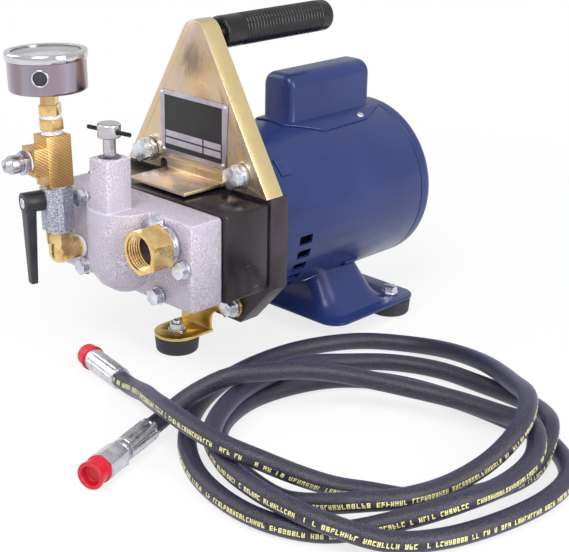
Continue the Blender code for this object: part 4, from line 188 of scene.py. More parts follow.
# Valve and gauge stack, in its own leaning frame
STACK = Matrix.Translation((-0.04958, -0.13577, 0.089)) @ turning(-2.5, 'Y')
VALVE = STACK @ turning(-14, 'Z')
TEE = STACK @ turning(-8, 'Z')
PLUG_TURN = turning(43.5, 'Z')
LEVER_AT = (0, 0, 0.0433)
TAPE_THICK = 0.0014
TAPE_WINDS = 5
GAUGE_RADIUS = 0.0295
GAUGE_LOW = 0.1266
GAUGE_RIM = 0.1535
GAUGE_WALL = 0.0012
GAUGE_EDGE = 0.0015
GAUGE_POST = 0.0024
DIAL_LOW = 0.1483
DIAL_TOP = 0.1493
DIAL_SWEEP = 270
DIAL_START = -135
MARKS = 50
MARK_RING = 0.0235
NUMBER_RING = 0.0172
NUMBER_SIZE = 0.0052
INK = 0.00003
HUB_RADIUS = 0.0012
HUB_HEIGHT = 0.001
LENS_LOW = 0.1538
LENS_TOP = 0.1556
BEZEL_RADIUS = 0.0312
BEZEL_LOW = 0.1502
BEZEL_TOP = 0.1568
BEZEL_LIP = 0.026
BEZEL_ROLL = 0.0013
PLUG_AT = (0, 0, 0.1404)
PLUG_HOLE = 0.0051
PLUG_RADIUS = 0.0048
PLUG_FACE = -0.0307
PLUG_ROOT = -0.0277

# Hose and its ends
HOSE_RADIUS = 0.00675
HOSE_POINTS = 440
HOSE_SIDES = 28
CURVE_STEPS = 24
LIE = 0.0101
MARK_PITCH = 0.0027
COIL_AT = (0.22, -0.03)
PRINT_RISE = 0.12
MARK_HALF = 0.062
END_A = (0.0289, -0.1057)
HEADING_A = math.radians(-10.5)
LENGTH_A = 0.0541
END_B = (0.1051, -0.1427)
HEADING_B = math.radians(108)
LENGTH_B = 0.0744
FERRULE_RADIUS = 0.0085
FERRULE_B = 0.0342
FLUTE_RADIUS = 0.002
FLUTE_DEPTH = 0.0008
FLUTES = 8
FLUTE_START = 0.004
FLUTE_END = 0.003
STEM_A = 0.0062
STEM_B = 0.0048
NOSE_RADIUS = 0.0065
NOSE_LENGTH = 0.006
NUT_WALL = 0.003
CAP_RADIUS = 0.0098
CAP_WAIST = 0.0088
CAP_RIM = 0.0025
CAP_WALL = 0.0015
CAP_BORE = 0.0065
CAP_A = 0.0108
CAP_B = 0.0126
CAP_B_DIMPLE = 0.005
CAP_B_PLUG = 0.008
NUT_LENGTH = 0.0208

# The hose's route, as the part has it
HOSE_ROUTE = (
    (0.057, -0.113, 0.0135), (0.077, -0.122, 0.0205), (0.101, -0.134, 0.0275), (0.128, -0.145, 0.0340),
    (0.158, -0.152, 0.0360), (0.190, -0.153, 0.0350), (0.218, -0.145, 0.0310), (0.237, -0.130, 0.0220),
    (0.250, -0.111, 0.0120), (0.264, -0.094, 0.0070), (0.296, -0.076, 0.0070), (0.316, -0.046, 0.0070),
    (0.325, -0.010, 0.0080), (0.324, 0.012, 0.0120), (0.315, 0.037, 0.0235), (0.295, 0.060, 0.0200),
    (0.262, 0.082, 0.0110), (0.220, 0.089, 0.0070), (0.182, 0.086, 0.0070), (0.148, 0.070, 0.0070),
    (0.124, 0.040, 0.0090), (0.115, 0.004, 0.0160), (0.118, -0.028, 0.0210), (0.121, -0.060, 0.0215),
    (0.129, -0.088, 0.0215), (0.146, -0.119, 0.0215), (0.165, -0.138, 0.0210), (0.195, -0.153, 0.0205),
    (0.225, -0.160, 0.0210), (0.252, -0.162, 0.0215), (0.284, -0.156, 0.0190), (0.313, -0.134, 0.0100),
    (0.333, -0.102, 0.0070), (0.347, -0.058, 0.0070), (0.351, -0.014, 0.0070), (0.341, 0.022, 0.0070),
    (0.306, 0.049, 0.0070), (0.262, 0.055, 0.0070), (0.216, 0.053, 0.0070), (0.172, 0.042, 0.0070),
    (0.140, 0.018, 0.0070), (0.123, -0.018, 0.0070), (0.119, -0.060, 0.0070), (0.133, -0.100, 0.0070),
    (0.160, -0.125, 0.0070), (0.196, -0.137, 0.0070), (0.232, -0.141, 0.0075), (0.260, -0.136, 0.0140),
    (0.284, -0.125, 0.0210), (0.301, -0.100, 0.0210), (0.310, -0.066, 0.0210), (0.316, -0.032, 0.0280),
    (0.315, 0.000, 0.0395), (0.297, 0.034, 0.0420), (0.264, 0.066, 0.0310), (0.218, 0.098, 0.0200),
    (0.174, 0.112, 0.0120), (0.136, 0.108, 0.0070), (0.104, 0.084, 0.0070), (0.084, 0.048, 0.0070),
    (0.076, 0.008, 0.0070), (0.079, -0.040, 0.0070), (0.098, -0.090, 0.0070), (0.130, -0.130, 0.0070),
    (0.170, -0.157, 0.0070), (0.214, -0.168, 0.0070), (0.252, -0.164, 0.0070), (0.282, -0.145, 0.0070),
    (0.310, -0.113, 0.0150), (0.328, -0.080, 0.0210), (0.334, -0.042, 0.0210), (0.331, -0.008, 0.0240),
    (0.318, 0.015, 0.0295), (0.300, 0.030, 0.0260), (0.278, 0.036, 0.0210), (0.240, 0.033, 0.0200),
    (0.208, 0.022, 0.0210), (0.184, 0.006, 0.0250), (0.165, -0.014, 0.0310), (0.150, -0.038, 0.0365),
    (0.136, -0.061, 0.0375), (0.122, -0.080, 0.0360), (0.110, -0.097, 0.0275), (0.103, -0.113, 0.0185),
)

# Camera, found from the photograph, and the stage
CAMERA_AT = (0.73532, -0.70987, 0.4431)
CAMERA_AROUND = 43.5
CAMERA_UP = 21.2
CAMERA_ROLL = 1.1
CAMERA_LENS = 83.135
SENSOR = 36
GLOSS_WORLD = 0.72
FLOOR_HALF = 30
FLOOR_DROP = 0.0002
LAMPS_AIM = Vector((0.03, -0.03, 0.1))


# Material helpers

def srgb(red, green, blue):
    """A screen colour of 0 to 255 as the linear colour that a shader takes."""
    def linear(value):
        share = value / 255
        return share / 12.92 if share <= 0.04045 else ((share + 0.055) / 1.055) ** 2.4
    return (linear(red), linear(green), linear(blue), 1)


class Tree:
    """The node tree of a material or a world, with short ways to add and link its nodes."""

    def __init__(self, owner):
        owner.use_nodes = True
        self.nodes = owner.node_tree.nodes
        self.links = owner.node_tree.links

    def fill(self, made, inputs):
        """Gives a node its inputs, each a value or another node's output."""
        for key, value in inputs.items():
            if isinstance(value, bpy.types.NodeSocket):
                self.links.new(value, made.inputs[key])
            else:
                made.inputs[key].default_value = value

    def node(self, kind, inputs, **settings):
        made = self.nodes.new(kind)
        for key, value in settings.items():
            setattr(made, key, value)
        self.fill(made, inputs)
        return made

    def place(self, output='Object'):
        return self.node('ShaderNodeTexCoord', {}).outputs[output]

    def noise(self, scale, detail=3.0, low=0.35, high=0.65, stretch=(1, 1, 1)):
        """Noise in the piece's own coordinates, spread over 0 to 1."""
        turn = self.node('ShaderNodeMapping', {'Scale': stretch, 'Vector': self.place()})
        inputs = {'Scale': scale, 'Detail': detail, 'Vector': turn.outputs['Vector']}
        return self.spread(self.node('ShaderNodeTexNoise', inputs).outputs['Fac'], low, high)

    def spread(self, value, low, high, to_low=0, to_high=1):
        inputs = {'Value': value, 'From Min': low, 'From Max': high, 'To Min': to_low, 'To Max': to_high}
        return self.node('ShaderNodeMapRange', inputs).outputs['Result']

    def mix(self, factor, a, b):
        return self.node('ShaderNodeMix', {0: factor, 6: a, 7: b}, data_type='RGBA').outputs[2]

    def math(self, operation, a, b=0.0, clamp=True):
        return self.node('ShaderNodeMath', {0: a, 1: b}, operation=operation, use_clamp=clamp).outputs[0]

    def above(self, a, b):
        return self.math('GREATER_THAN', a, b)

    def below(self, a, b):
        return self.math('LESS_THAN', a, b)

    def fold(self, operation, total, *values):
        for value in values:
            total = self.math(operation, total, value)
        return total

    def all_of(self, *values):
        return self.fold('MULTIPLY', *values)

    def any_of(self, *values):
        return self.fold('MAXIMUM', *values)

    def parts(self, vector):
        return self.node('ShaderNodeSeparateXYZ', {'Vector': vector}).outputs

    def chance(self, value):
        return self.node('ShaderNodeTexWhiteNoise', {'W': value}, noise_dimensions='1D').outputs

    def seen_rays(self):
        """1 for rays from the camera, in gloss and through glass, which see the white background."""
        rays = self.node('ShaderNodeLightPath', {}).outputs
        return self.any_of(rays['Is Camera Ray'], rays['Is Glossy Ray'], rays['Is Transmission Ray'])

    def blend(self, factor, first, second, output):
        """Shows a mix of two shaders."""
        inputs = {'Fac': factor, 1: first.outputs[0], 2: second.outputs[0]}
        made = self.node('ShaderNodeMixShader', inputs)
        self.links.new(made.outputs['Shader'], self.nodes[output].inputs['Surface'])


class Finish(Tree):
    """A Principled material whose textures lie in the piece's own coordinates."""

    def __init__(self, name, rough, metallic=0.0, coat=0.0):
        self.mat = bpy.data.materials.new(name)
        super().__init__(self.mat)
        self.shader = self.nodes['Principled BSDF']
        self.set('Roughness', rough)
        self.set('Metallic', metallic)
        self.set('Coat Weight', coat)
        if coat:
            self.set('Coat Roughness', 0.12)

    def set(self, socket, value):
        self.fill(self.shader, {socket: value})

    def colour(self, value):
        self.set('Base Color', value)

    def rough(self, factor, low, high):
        self.set('Roughness', self.spread(factor, 0, 1, low, high))

    def bump(self, height, depth):
        made = self.node('ShaderNodeBump', {'Distance': depth, 'Height': height})
        self.set('Normal', made.outputs['Normal'])

    def edges(self, radius, strength=6.0):
        """Near 1 along outer edges, where a painted highlight goes, and 0 on flat and hollow places."""
        bevel = self.node('ShaderNodeBevel', {'Radius': radius}, samples=4)
        plain = self.node('ShaderNodeNewGeometry', {})
        normals = {0: bevel.outputs['Normal'], 1: plain.outputs['Normal']}
        dot = self.node('ShaderNodeVectorMath', normals, operation='DOT_PRODUCT')
        return self.math('MULTIPLY', self.math('SUBTRACT', 1.0, dot.outputs['Value']), strength)


def plain_finish(name, low, high, rough, metallic, patch, grain, depth):
    """Two close colours in soft patches, uneven roughness and a fine grain."""
    made = Finish(name, rough[0], metallic)
    patches = made.noise(patch, 4)
    made.colour(made.mix(patches, srgb(*low), srgb(*high)))
    made.rough(patches, *rough)
    made.bump(made.noise(grain, 4, 0.3, 0.7), depth)
    return made.mat


def cast_aluminium():
    made = Finish('cast_aluminium', 0.5, 0.35)
    sand = made.noise(900, 5, 0.36, 0.64)
    base = made.mix(sand, srgb(166, 157, 170), srgb(228, 220, 231))
    base = made.mix(made.noise(45, 3, 0.4, 0.7), base, srgb(190, 183, 198))
    # Outer edges lightened to near white: a painted edge highlight.
    made.colour(made.mix(made.edges(0.0016), base, srgb(246, 244, 250)))
    made.rough(sand, 0.36, 0.62)
    made.bump(made.noise(700, 6, 0.3, 0.7), 0.0005)
    return made.mat


def speckled_zinc():
    made = Finish('valve_steel', 0.35, 0.75)
    speckle = made.noise(1500, 2, 0.42, 0.58)
    made.colour(made.mix(speckle, srgb(128, 132, 160), srgb(228, 228, 240)))
    made.rough(speckle, 0.5, 0.28)
    made.bump(speckle, 0.0002)
    return made.mat


def yellow_zinc(name, grey, gold, pink, side):
    """Passivated sheet: soft patches of three tints, deeper on its side faces, with a painted highlight along
    its edges.
    """
    made = Finish(name, 0.25, 0.88)
    base = made.mix(made.noise(22, 3, 0.38, 0.62), srgb(*grey), srgb(*gold))
    base = made.mix(made.noise(60, 3, 0.4, 0.66), base, srgb(*pink))
    sideways = made.math('ABSOLUTE', made.parts(made.place('Normal'))['X'])
    base = made.mix(made.spread(sideways, 0.3, 0.7), base, srgb(*side))
    # Outer edges lightened to pale cream: a painted edge highlight.
    made.colour(made.mix(made.edges(0.0014, 5.0), base, srgb(250, 238, 206)))
    made.rough(made.noise(30, 4), 0.18, 0.34)
    made.bump(made.noise(260, 4, 0.3, 0.7, (1, 1, 0.12)), 0.00006)
    return made.mat


def black_paint():
    made = Finish('black_paint', 0.25, 0.0, 0.12)
    made.set('Specular IOR Level', 0.38)
    scratch = made.noise(420, 1, 0.79, 0.81, (1, 0.3, 1.1))
    base = made.mix(made.noise(35, 3), srgb(26, 20, 25), srgb(38, 31, 37))
    made.colour(made.mix(made.math('MULTIPLY', scratch, 0.5), base, srgb(150, 140, 150)))
    made.rough(made.noise(60, 5), 0.18, 0.32)
    made.bump(made.noise(500, 3, 0.3, 0.7), 0.00005)
    return made.mat


def motor_enamel():
    made = Finish('motor_enamel', 0.3, 0.0, 0.12)
    made.set('Specular IOR Level', 0.32)
    made.colour(made.mix(made.noise(14, 3), srgb(34, 48, 98), srgb(41, 56, 108)))
    made.rough(made.noise(30, 3), 0.26, 0.36)
    made.bump(made.noise(320, 2, 0.3, 0.7), 0.00002)
    return made.mat


def brass():
    made = Finish('brass', 0.26, 1.0)
    made.colour(made.mix(made.noise(90, 4), srgb(222, 184, 118), srgb(244, 214, 156)))
    made.rough(made.noise(160, 4), 0.16, 0.36)
    made.bump(made.noise(420, 4, 0.3, 0.7, (1, 0.2, 1)), 0.00006)
    return made.mat


def sawn_brass():
    """Bar stock with slanting saw marks."""
    made = Finish('sawn_brass', 0.34, 1.0)
    turn = made.node('ShaderNodeMapping', {'Scale': (0.3, 1, 1.6), 'Vector': made.place()})
    inputs = {'Scale': 170, 'Distortion': 1.6, 'Detail': 2, 'Vector': turn.outputs['Vector']}
    wave = made.node('ShaderNodeTexWave', inputs, bands_direction='DIAGONAL').outputs['Fac']
    made.colour(made.mix(wave, srgb(186, 146, 92), srgb(222, 184, 124)))
    made.rough(made.noise(120, 4), 0.28, 0.46)
    made.bump(wave, 0.00012)
    return made.mat


def brushed(name, low, high, rough, stretch):
    made = Finish(name, rough, 1.0)
    lines = made.noise(60, 4, 0.3, 0.7, stretch)
    made.colour(made.mix(lines, srgb(*low), srgb(*high)))
    made.rough(lines, rough * 0.8, rough * 1.3)
    made.bump(lines, 0.00003)
    return made.mat


def glass():
    made = Finish('gauge_glass', 0.03)
    made.set('Transmission Weight', 1.0)
    made.set('IOR', 1.45)
    made.colour(made.mix(made.noise(20, 2), srgb(250, 252, 252), srgb(255, 255, 255)))
    return made.mat


def printed_marks(made, along, across):
    """Upright and level strokes in cells along the hose, like small capitals that spell nothing."""
    place = made.math('MULTIPLY', along, 1 / MARK_PITCH, clamp=False)
    cell = made.math('FLOOR', place, clamp=False)
    share = made.math('FRACT', place)
    height = made.math('MULTIPLY', across, 0.5 / MARK_HALF, clamp=False)
    height = made.math('ADD', height, 0.5, clamp=False)
    chances = made.parts(made.chance(cell)['Color'])
    inside = made.below(share, 0.74)
    left = made.below(share, 0.26)
    right = made.all_of(made.above(share, 0.5), inside, made.above(chances['X'], 0.4))
    strokes = [left, right]
    for low, high, source, least in ((0.76, 1.0, 'Y', 0.35), (0.0, 0.24, 'Z', 0.5), (0.4, 0.6, 'X', 0.3)):
        level = made.all_of(made.above(height, low), made.below(height, high))
        strokes.append(made.all_of(level, inside, made.above(chances[source], least)))
    band = made.all_of(made.above(height, 0.0), made.below(height, 1.0))
    word = made.math('FLOOR', made.math('MULTIPLY', place, 0.125, clamp=False), clamp=False)
    gap = made.chance(made.math('SUBTRACT', cell, word, clamp=False))['Value']
    return made.all_of(made.any_of(*strokes), band, made.above(gap, 0.16))


def hose_rubber():
    """Wrapped rubber cover with a violet sheen and a pale yellow line of plain marks."""
    made = Finish('hose_rubber', 0.42)
    made.set('Sheen Weight', 0.25)
    made.set('Sheen Tint', srgb(150, 150, 215))
    speck = made.noise(1300, 3, 0.5, 0.66)
    base = made.mix(speck, srgb(30, 28, 38), srgb(70, 66, 86))
    route = made.parts(made.node('ShaderNodeUVMap', {}, uv_map='route').outputs['UV'])
    marks = printed_marks(made, route['X'], route['Y'])
    worn = made.above(made.noise(1500, 2), 0.12)
    made.colour(made.mix(made.all_of(marks, worn), base, srgb(236, 228, 150)))
    made.rough(speck, 0.36, 0.56)
    made.bump(made.noise(900, 4, 0.3, 0.7), 0.00016)
    return made.mat


def make_materials():
    pale = ((206, 188, 164), (214, 192, 148), (212, 188, 172), (230, 208, 156))
    deep = ((206, 170, 88), (196, 158, 74), (214, 180, 104), (220, 184, 96))
    mats = {
        'cast_aluminium': cast_aluminium(), 'valve_steel': speckled_zinc(),
        'yellow_zinc': yellow_zinc('yellow_zinc', *pale), 'gold_zinc': yellow_zinc('gold_zinc', *deep),
        'black_paint': black_paint(), 'motor_enamel': motor_enamel(), 'brass': brass(),
        'sawn_brass': sawn_brass(), 'gauge_glass': glass(), 'hose_rubber': hose_rubber(),
        'gauge_steel': brushed('gauge_steel', (150, 132, 140), (182, 178, 198), 0.2, (1, 1, 0.02)),
        'gauge_chrome': brushed('gauge_chrome', (200, 198, 204), (222, 220, 226), 0.1, (1, 1, 10)),
        'machined_steel': brushed('machined_steel', (186, 182, 190), (216, 213, 220), 0.24, (1, 1, 18)),
    }
    table = {
        'zinc_plate': ((196, 200, 212), (232, 234, 242), (0.18, 0.36), 0.92, 150, 500, 0.00008),
        'black_steel': ((20, 20, 24), (36, 36, 40), (0.2, 0.32), 0.5, 80, 500, 0.00003),
        'spring_steel': ((96, 96, 102), (128, 128, 134), (0.3, 0.4), 0.9, 80, 600, 0.00003),
        'dial_print': ((242, 242, 238), (250, 250, 247), (0.5, 0.6), 0.0, 30, 600, 0.00002),
        'pointer_paint': ((14, 14, 16), (22, 22, 24), (0.4, 0.5), 0.0, 90, 600, 0.00002),
        'black_rubber': ((34, 33, 44), (48, 46, 58), (0.5, 0.68), 0.0, 70, 900, 0.00012),
        'lever_plastic': ((30, 31, 38), (42, 42, 50), (0.34, 0.46), 0.0, 60, 900, 0.00006),
        'grip_vinyl': ((14, 14, 16), (24, 24, 28), (0.2, 0.34), 0.0, 50, 700, 0.00004),
        'name_plate': ((168, 162, 176), (190, 184, 196), (0.32, 0.44), 0.7, 60, 900, 0.00003),
        'flange_plate': ((48, 38, 45), (64, 54, 61), (0.36, 0.5), 0.2, 50, 700, 0.00008),
        'laminations': ((92, 90, 94), (120, 118, 122), (0.4, 0.5), 0.8, 60, 900, 0.00005),
        'screen_mesh': ((44, 42, 54), (92, 88, 104), (0.4, 0.6), 0.6, 700, 1500, 0.0003),
        'ferrule_plate': ((188, 188, 196), (222, 222, 228), (0.2, 0.38), 0.92, 160, 700, 0.00008),
        'cap_red': ((186, 12, 38), (206, 22, 48), (0.28, 0.4), 0.0, 60, 500, 0.00004),
        'tape': ((238, 238, 240), (252, 252, 252), (0.55, 0.75), 0.0, 300, 1500, 0.0002),
        'plate_field': ((18, 17, 20), (28, 26, 30), (0.3, 0.4), 0.0, 60, 900, 0.00002),
        'plate_row': ((176, 170, 184), (196, 190, 202), (0.34, 0.44), 0.6, 120, 900, 0.00002),
    }
    for name, values in table.items():
        mats[name] = plain_finish(name, *values)
    return mats


# Shapes

def add_object(name, data):
    obj = bpy.data.objects.new(name, data)
    bpy.context.scene.collection.objects.link(obj)
    return obj


def object_from(name, bm):
    bmesh.ops.recalc_face_normals(bm, faces=bm.faces)
    if bm.calc_volume(signed=True) < 0:
        bmesh.ops.reverse_faces(bm, faces=bm.faces)
    mesh = bpy.data.meshes.new(name)
    bm.to_mesh(mesh)
    bm.free()
    return add_object(name, mesh)


TURNS = {'Z': Matrix.Identity(4), 'Y': turning(-90, 'X'), 'X': turning(90, 'Y')}
ORDERS = {'Z': (0, 1, 2), 'Y': (0, 2, 1), 'X': (2, 0, 1)}


def join_rings(bm, first, second):
    for i in range(len(first)):
        j = (i + 1) % len(first)
        bm.faces.new((first[i], first[j], second[j], second[i]))


def loft(name, rings):
    """A skin through rings of points, closed at both ends."""
    bm = bmesh.new()
    made = [[bm.verts.new(point) for point in ring] for ring in rings]
    bm.faces.new(made[0])
    bm.faces.new(made[-1])
    for first, second in zip(made, made[1:]):
        join_rings(bm, first, second)
    return object_from(name, bm)


def prism(name, outline, low, high, axis='Z'):
    """An outline of (x, y) points swept along Z, of (x, z) along Y, or of (y, z) along X."""
    rings = []
    for height in (low, high):
        points = [(a, b, height) for a, b in outline]
        rings.append([[point[i] for i in ORDERS[axis]] for point in points])
    return loft(name, rings)


def box(name, low, high):
    outline = ((low[0], low[1]), (high[0], low[1]), (high[0], high[1]), (low[0], high[1]))
    return prism(name, outline, low[2], high[2])


def turned(name, profile, steps=ROUND, axis='Z', at=(0, 0, 0), ring=False):
    """A profile of (radius, distance along the axis) points, spun round the axis through at."""
    bm = bmesh.new()
    verts = [bm.verts.new((radius, 0, along)) for radius, along in profile]
    edges = [bm.edges.new(pair) for pair in zip(verts, verts[1:])]
    if ring:
        edges.append(bm.edges.new((verts[-1], verts[0])))
    bmesh.ops.spin(bm, geom=verts + edges, cent=(0, 0, 0), axis=(0, 0, 1), dvec=(0, 0, 0),
                   angle=2 * math.pi, steps=steps, use_merge=True, use_duplicate=False)
    bmesh.ops.remove_doubles(bm, verts=bm.verts, dist=SEAM)
    bm.transform(Matrix.Translation(at) @ TURNS[axis])
    return object_from(name, bm)


def rod(name, radius, low, high, steps=ROUND, axis='Z', at=(0, 0, 0)):
    return turned(name, ((0, low), (radius, low), (radius, high), (0, high)), steps, axis, at)


def button(name, radius, low, high, width, axis, at):
    """A short rod with rounded edges."""
    outline = ((0, low), (radius, low), (radius, high), (0, high))
    return turned(name, rounded(outline, width), ROUND, axis, at)


def hexagon(flats):
    radius = flats / 2 / math.cos(math.pi / 6)
    angles = [(i + 0.5) * math.pi / 3 for i in range(6)]
    return [(radius * math.cos(a), radius * math.sin(a)) for a in angles]


def quarter(steps):
    """The angles of a quarter turn in equal steps."""
    return [i * math.pi / 2 / steps for i in range(steps + 1)]


def current_mesh(obj):
    """A mesh of the object as it stands, with its modifiers."""
    bpy.context.view_layer.update()
    graph = bpy.context.evaluated_depsgraph_get()
    return bpy.data.meshes.new_from_object(obj.evaluated_get(graph))


def bake(obj):
    mesh = current_mesh(obj)
    obj.modifiers.clear()
    obj.data = mesh
    return obj


def combine(obj, tool, operation):
    step = obj.modifiers.new(operation, 'BOOLEAN')
    step.operation = operation
    step.solver = 'EXACT'
    step.object = tool
    bake(obj)
    bpy.data.objects.remove(tool)


def cut(obj, tool):
    combine(obj, tool, 'DIFFERENCE')


def soften(obj, width, segments=3, angle=32):
    """Rounds every edge that is sharper than the angle."""
    step = obj.modifiers.new('soften', 'BEVEL')
    step.width = width
    step.segments = segments
    step.limit_method = 'ANGLE'
    step.angle_limit = math.radians(angle)
    step.use_clamp_overlap = True
    return bake(obj)


def rounded(corners, radius, steps=4):
    """A profile's corners replaced by short arcs; the first and last points stay."""
    points = [Vector(c) for c in corners]
    result = [points[0]]
    for before, corner, after in zip(points, points[1:], points[2:]):
        a = before - corner
        b = after - corner
        reach = min(radius, a.length / 2, b.length / 2)
        start = corner + a.normalized() * reach
        end = corner + b.normalized() * reach
        for i in range(steps + 1):
            t = i / steps
            result.append(start.lerp(corner, t).lerp(corner.lerp(end, t), t))
    result.append(points[-1])
    return [tuple(p) for p in result]


def ridges(count, start, pitch, foot, top, offsets):
    """A row of ridges or grooves in a profile, each from its foot to its top and back."""
    points = []
    for i in range(count):
        for radius, offset in zip((foot, top, top, foot), offsets):
            points.append((radius, start + i * pitch + offset))
    return points


def show(obj, mat, *nodes, body='pump', slot=None, matrix=TO_MIDDLE):
    """Places a piece, gives it its finish and its body, and hides the CAD nodes that it stands for."""
    obj.data.transform(matrix)
    obj.data.materials.clear()
    obj.data.materials.append(MATS[mat])
    obj.data.shade_smooth()
    obj.data.set_sharp_from_angle(angle=SHARP)
    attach(obj, body)
    if nodes:
        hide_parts(*nodes)
    return obj


# Carried-over solids, with their edges rounded

EDGE_WIDTHS = {
    'pump_head': 0.0008, 'valve_body': 0.0004, 'valve_lever': 0.0006, 'outlet_tee': 0.0003,
    'outlet_elbow': 0.0003, 'carry_bracket': 0.0004, 'foot_bracket': 0.0004, 'crankcase': 0.0004,
    'adapter_flange': 0.0005, 'inlet_swivel_nut': 0.0005, 'tommy_bar': 0.0005,
}
PLAIN_EDGE = 0.0003
INSIDE = ('stator', 'rotor_shaft', 'swash_plate', 'plunger_left', 'plunger_right',
          'spring_follower', 'relief_poppet', 'valve_ball', 'inlet_screen')
REMADE = ('motor_shell', 'motor_base', 'motor_rear_bell', 'capacitor_cover', 'handle_grip', 'nameplate',
          'gauge_case', 'gauge_bezel', 'gauge_lens', 'gauge_dial', 'gauge_plug', 'hose', 'hose_ferrule_a',
          'hose_ferrule_b', 'hose_cap_a', 'hose_cap_b', 'front_foot', 'rear_foot_left', 'rear_foot_right',
          'relief_spring')
FLAT_ANGLE = math.radians(1)
OWN_MATERIAL = {'outlet_tee': 'sawn_brass', 'foot_bracket': 'gold_zinc'}
OWN_TURN = {'gauge_stem': 37}


def slot_of(node):
    return node.material_slots[0].material.name.split('.')[0]


def keep_inside_node(name):
    """A CAD node that stays as it is, with the finish of its slot."""
    obj = frame['nodes'][name]
    obj.material_slots[0].material = MATS[slot_of(obj)]


def refine(name):
    """A copy of a CAD node as one skin, its flat faces whole and its edges rounded."""
    source = frame['nodes'][name]
    slot = slot_of(source)
    bm = bmesh.new()
    bm.from_mesh(source.data)
    bmesh.ops.remove_doubles(bm, verts=bm.verts, dist=WELD)
    bmesh.ops.dissolve_limit(bm, angle_limit=FLAT_ANGLE, verts=bm.verts, edges=bm.edges)
    obj = object_from(f'{name}_skin', bm)
    for kind in ('sharp_edge', 'custom_normal'):
        if kind in obj.data.attributes:
            obj.data.attributes.remove(obj.data.attributes[kind])
    soften(obj, EDGE_WIDTHS.get(name, PLAIN_EDGE), 2)
    turn = STACK @ turning(OWN_TURN.get(name, 0), 'Z') @ STACK.inverted()
    mat = OWN_MATERIAL.get(name, slot)
    return show(obj, mat, name, body=source['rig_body'], slot=slot, matrix=turn)


def make_spring():
    """The relief spring, rounded like the other nodes and given a mesh of its own."""
    spring = refine('relief_spring')
    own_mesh(spring)


# Motor

def round_motor(obj, degrees):
    """Turns a piece round the shaft line, from 0 at the motor's right side."""
    obj.data.transform(Matrix.Translation(MOTOR_AT) @ turning(degrees, 'Y'))
    return obj


def make_shell():
    inner = SHELL_RADIUS - SHELL_WALL
    floor = SHELL_START + 2 * SHELL_WALL
    profile = rounded(((SHAFT_HOLE, SHELL_START), (SHELL_RADIUS, SHELL_START), (SHELL_RADIUS, SHELL_END),
                       (inner, SHELL_END), (inner, floor), (SHAFT_HOLE, floor)), SHELL_EDGE)
    shell = turned('motor_shell_skin', profile, FINE, 'Y', MOTOR_AT, ring=True)
    for first, step in ((VENT_FIRST, VENT_STEP), (180 - VENT_FIRST, -VENT_STEP)):
        for i in range(VENTS):
            vent = box('vent', (SHELL_RADIUS - OVERRUN, VENT_FRONT, -VENT_HALF),
                       (SHELL_RADIUS + OVERRUN, VENT_REAR, VENT_HALF))
            cut(shell, round_motor(soften(vent, 0.0008, 2), first + i * step))
    combine(shell, button('gland', GLAND_RADIUS, GLAND_FACE, GLAND_ROOT, 0.0012, 'X', GLAND_AT), 'UNION')
    hole = rod('cord_hole', CORD_HOLE, GLAND_FACE - OVERRUN, GLAND_ROOT + OVERRUN / 2, SMALL, 'X', GLAND_AT)
    cut(shell, hole)
    show(shell, 'motor_enamel', 'motor_shell')


def make_bell():
    spigot = SHELL_RADIUS - SHELL_WALL - GAP
    inner = spigot - BELL_WALL
    shoulder = BELL_START + BELL_SHOULDER
    profile = [(inner, BELL_START - BELL_SPIGOT), (spigot, BELL_START - BELL_SPIGOT), (spigot, BELL_START),
               (SHELL_RADIUS - GAP, BELL_START), (SHELL_RADIUS, BELL_START + GAP), (SHELL_RADIUS, shoulder)]
    depth = BELL_END - shoulder
    width = SHELL_RADIUS - BELL_FACE
    for a in quarter(12)[1:]:
        profile.append((SHELL_RADIUS - width + width * math.cos(a), shoulder + depth * math.sin(a)))
    profile += [(SHAFT_HOLE, BELL_END), (SHAFT_HOLE, BELL_END - BELL_WALL),
                (BELL_FACE - BELL_WALL, BELL_END - BELL_WALL), (inner, shoulder)]
    bell = turned('motor_rear_bell_skin', profile, FINE, 'Y', MOTOR_AT, ring=True)
    for i in range(BELL_SLOTS):
        slot = box('slot', (SLOT_INNER, BELL_END - 2 * OVERRUN, -SLOT_HALF),
                   (SLOT_OUTER, BELL_END + OVERRUN, SLOT_HALF))
        cut(bell, round_motor(soften(slot, 0.0022, 4), (i + 0.5) * 360 / BELL_SLOTS))
    show(bell, 'motor_enamel', 'motor_rear_bell')


def mirrored(right):
    """An outline's right side followed by the same points on the left."""
    return right + [(-x, y) for x, y in reversed(right)]


def make_cover():
    end = COVER_START + COVER_LENGTH
    seat = SHELL_RADIUS + GAP
    right = [(COVER_HALF, AXIS + SHELL_RADIUS - 2 * OVERRUN)]
    for a in quarter(10):
        right.append((COVER_HALF - COVER_ROUND + COVER_ROUND * math.cos(a),
                      COVER_TOP - COVER_ROUND + COVER_ROUND * math.sin(a)))
    cover = prism('capacitor_cover_skin', mirrored(right), COVER_START, end, 'Y')
    soften(cover, COVER_END_ROUND, 6, 60)
    shares = ((-0.095, 0.9), (0.24, 2.0), (0.8, 1.9), (1.1, 1.15))
    right = [(COVER_HALF * wide, COVER_START + COVER_LENGTH * along) for along, wide in shares]
    saddle = prism('saddle', mirrored(right), AXIS + GAP, AXIS + SHELL_RADIUS + OVERRUN)
    low = COVER_START - 4 * OVERRUN
    high = end + 4 * OVERRUN
    combine(saddle, rod('saddle_round', seat + SADDLE_RISE, low, high, FINE, 'Y', MOTOR_AT), 'INTERSECT')
    combine(cover, saddle, 'UNION')
    cut(cover, rod('seat', seat, low - OVERRUN, high + OVERRUN, FINE, 'Y', MOTOR_AT))
    soften(cover, 0.0005, 2, 50)
    show(cover, 'motor_enamel', 'capacitor_cover')


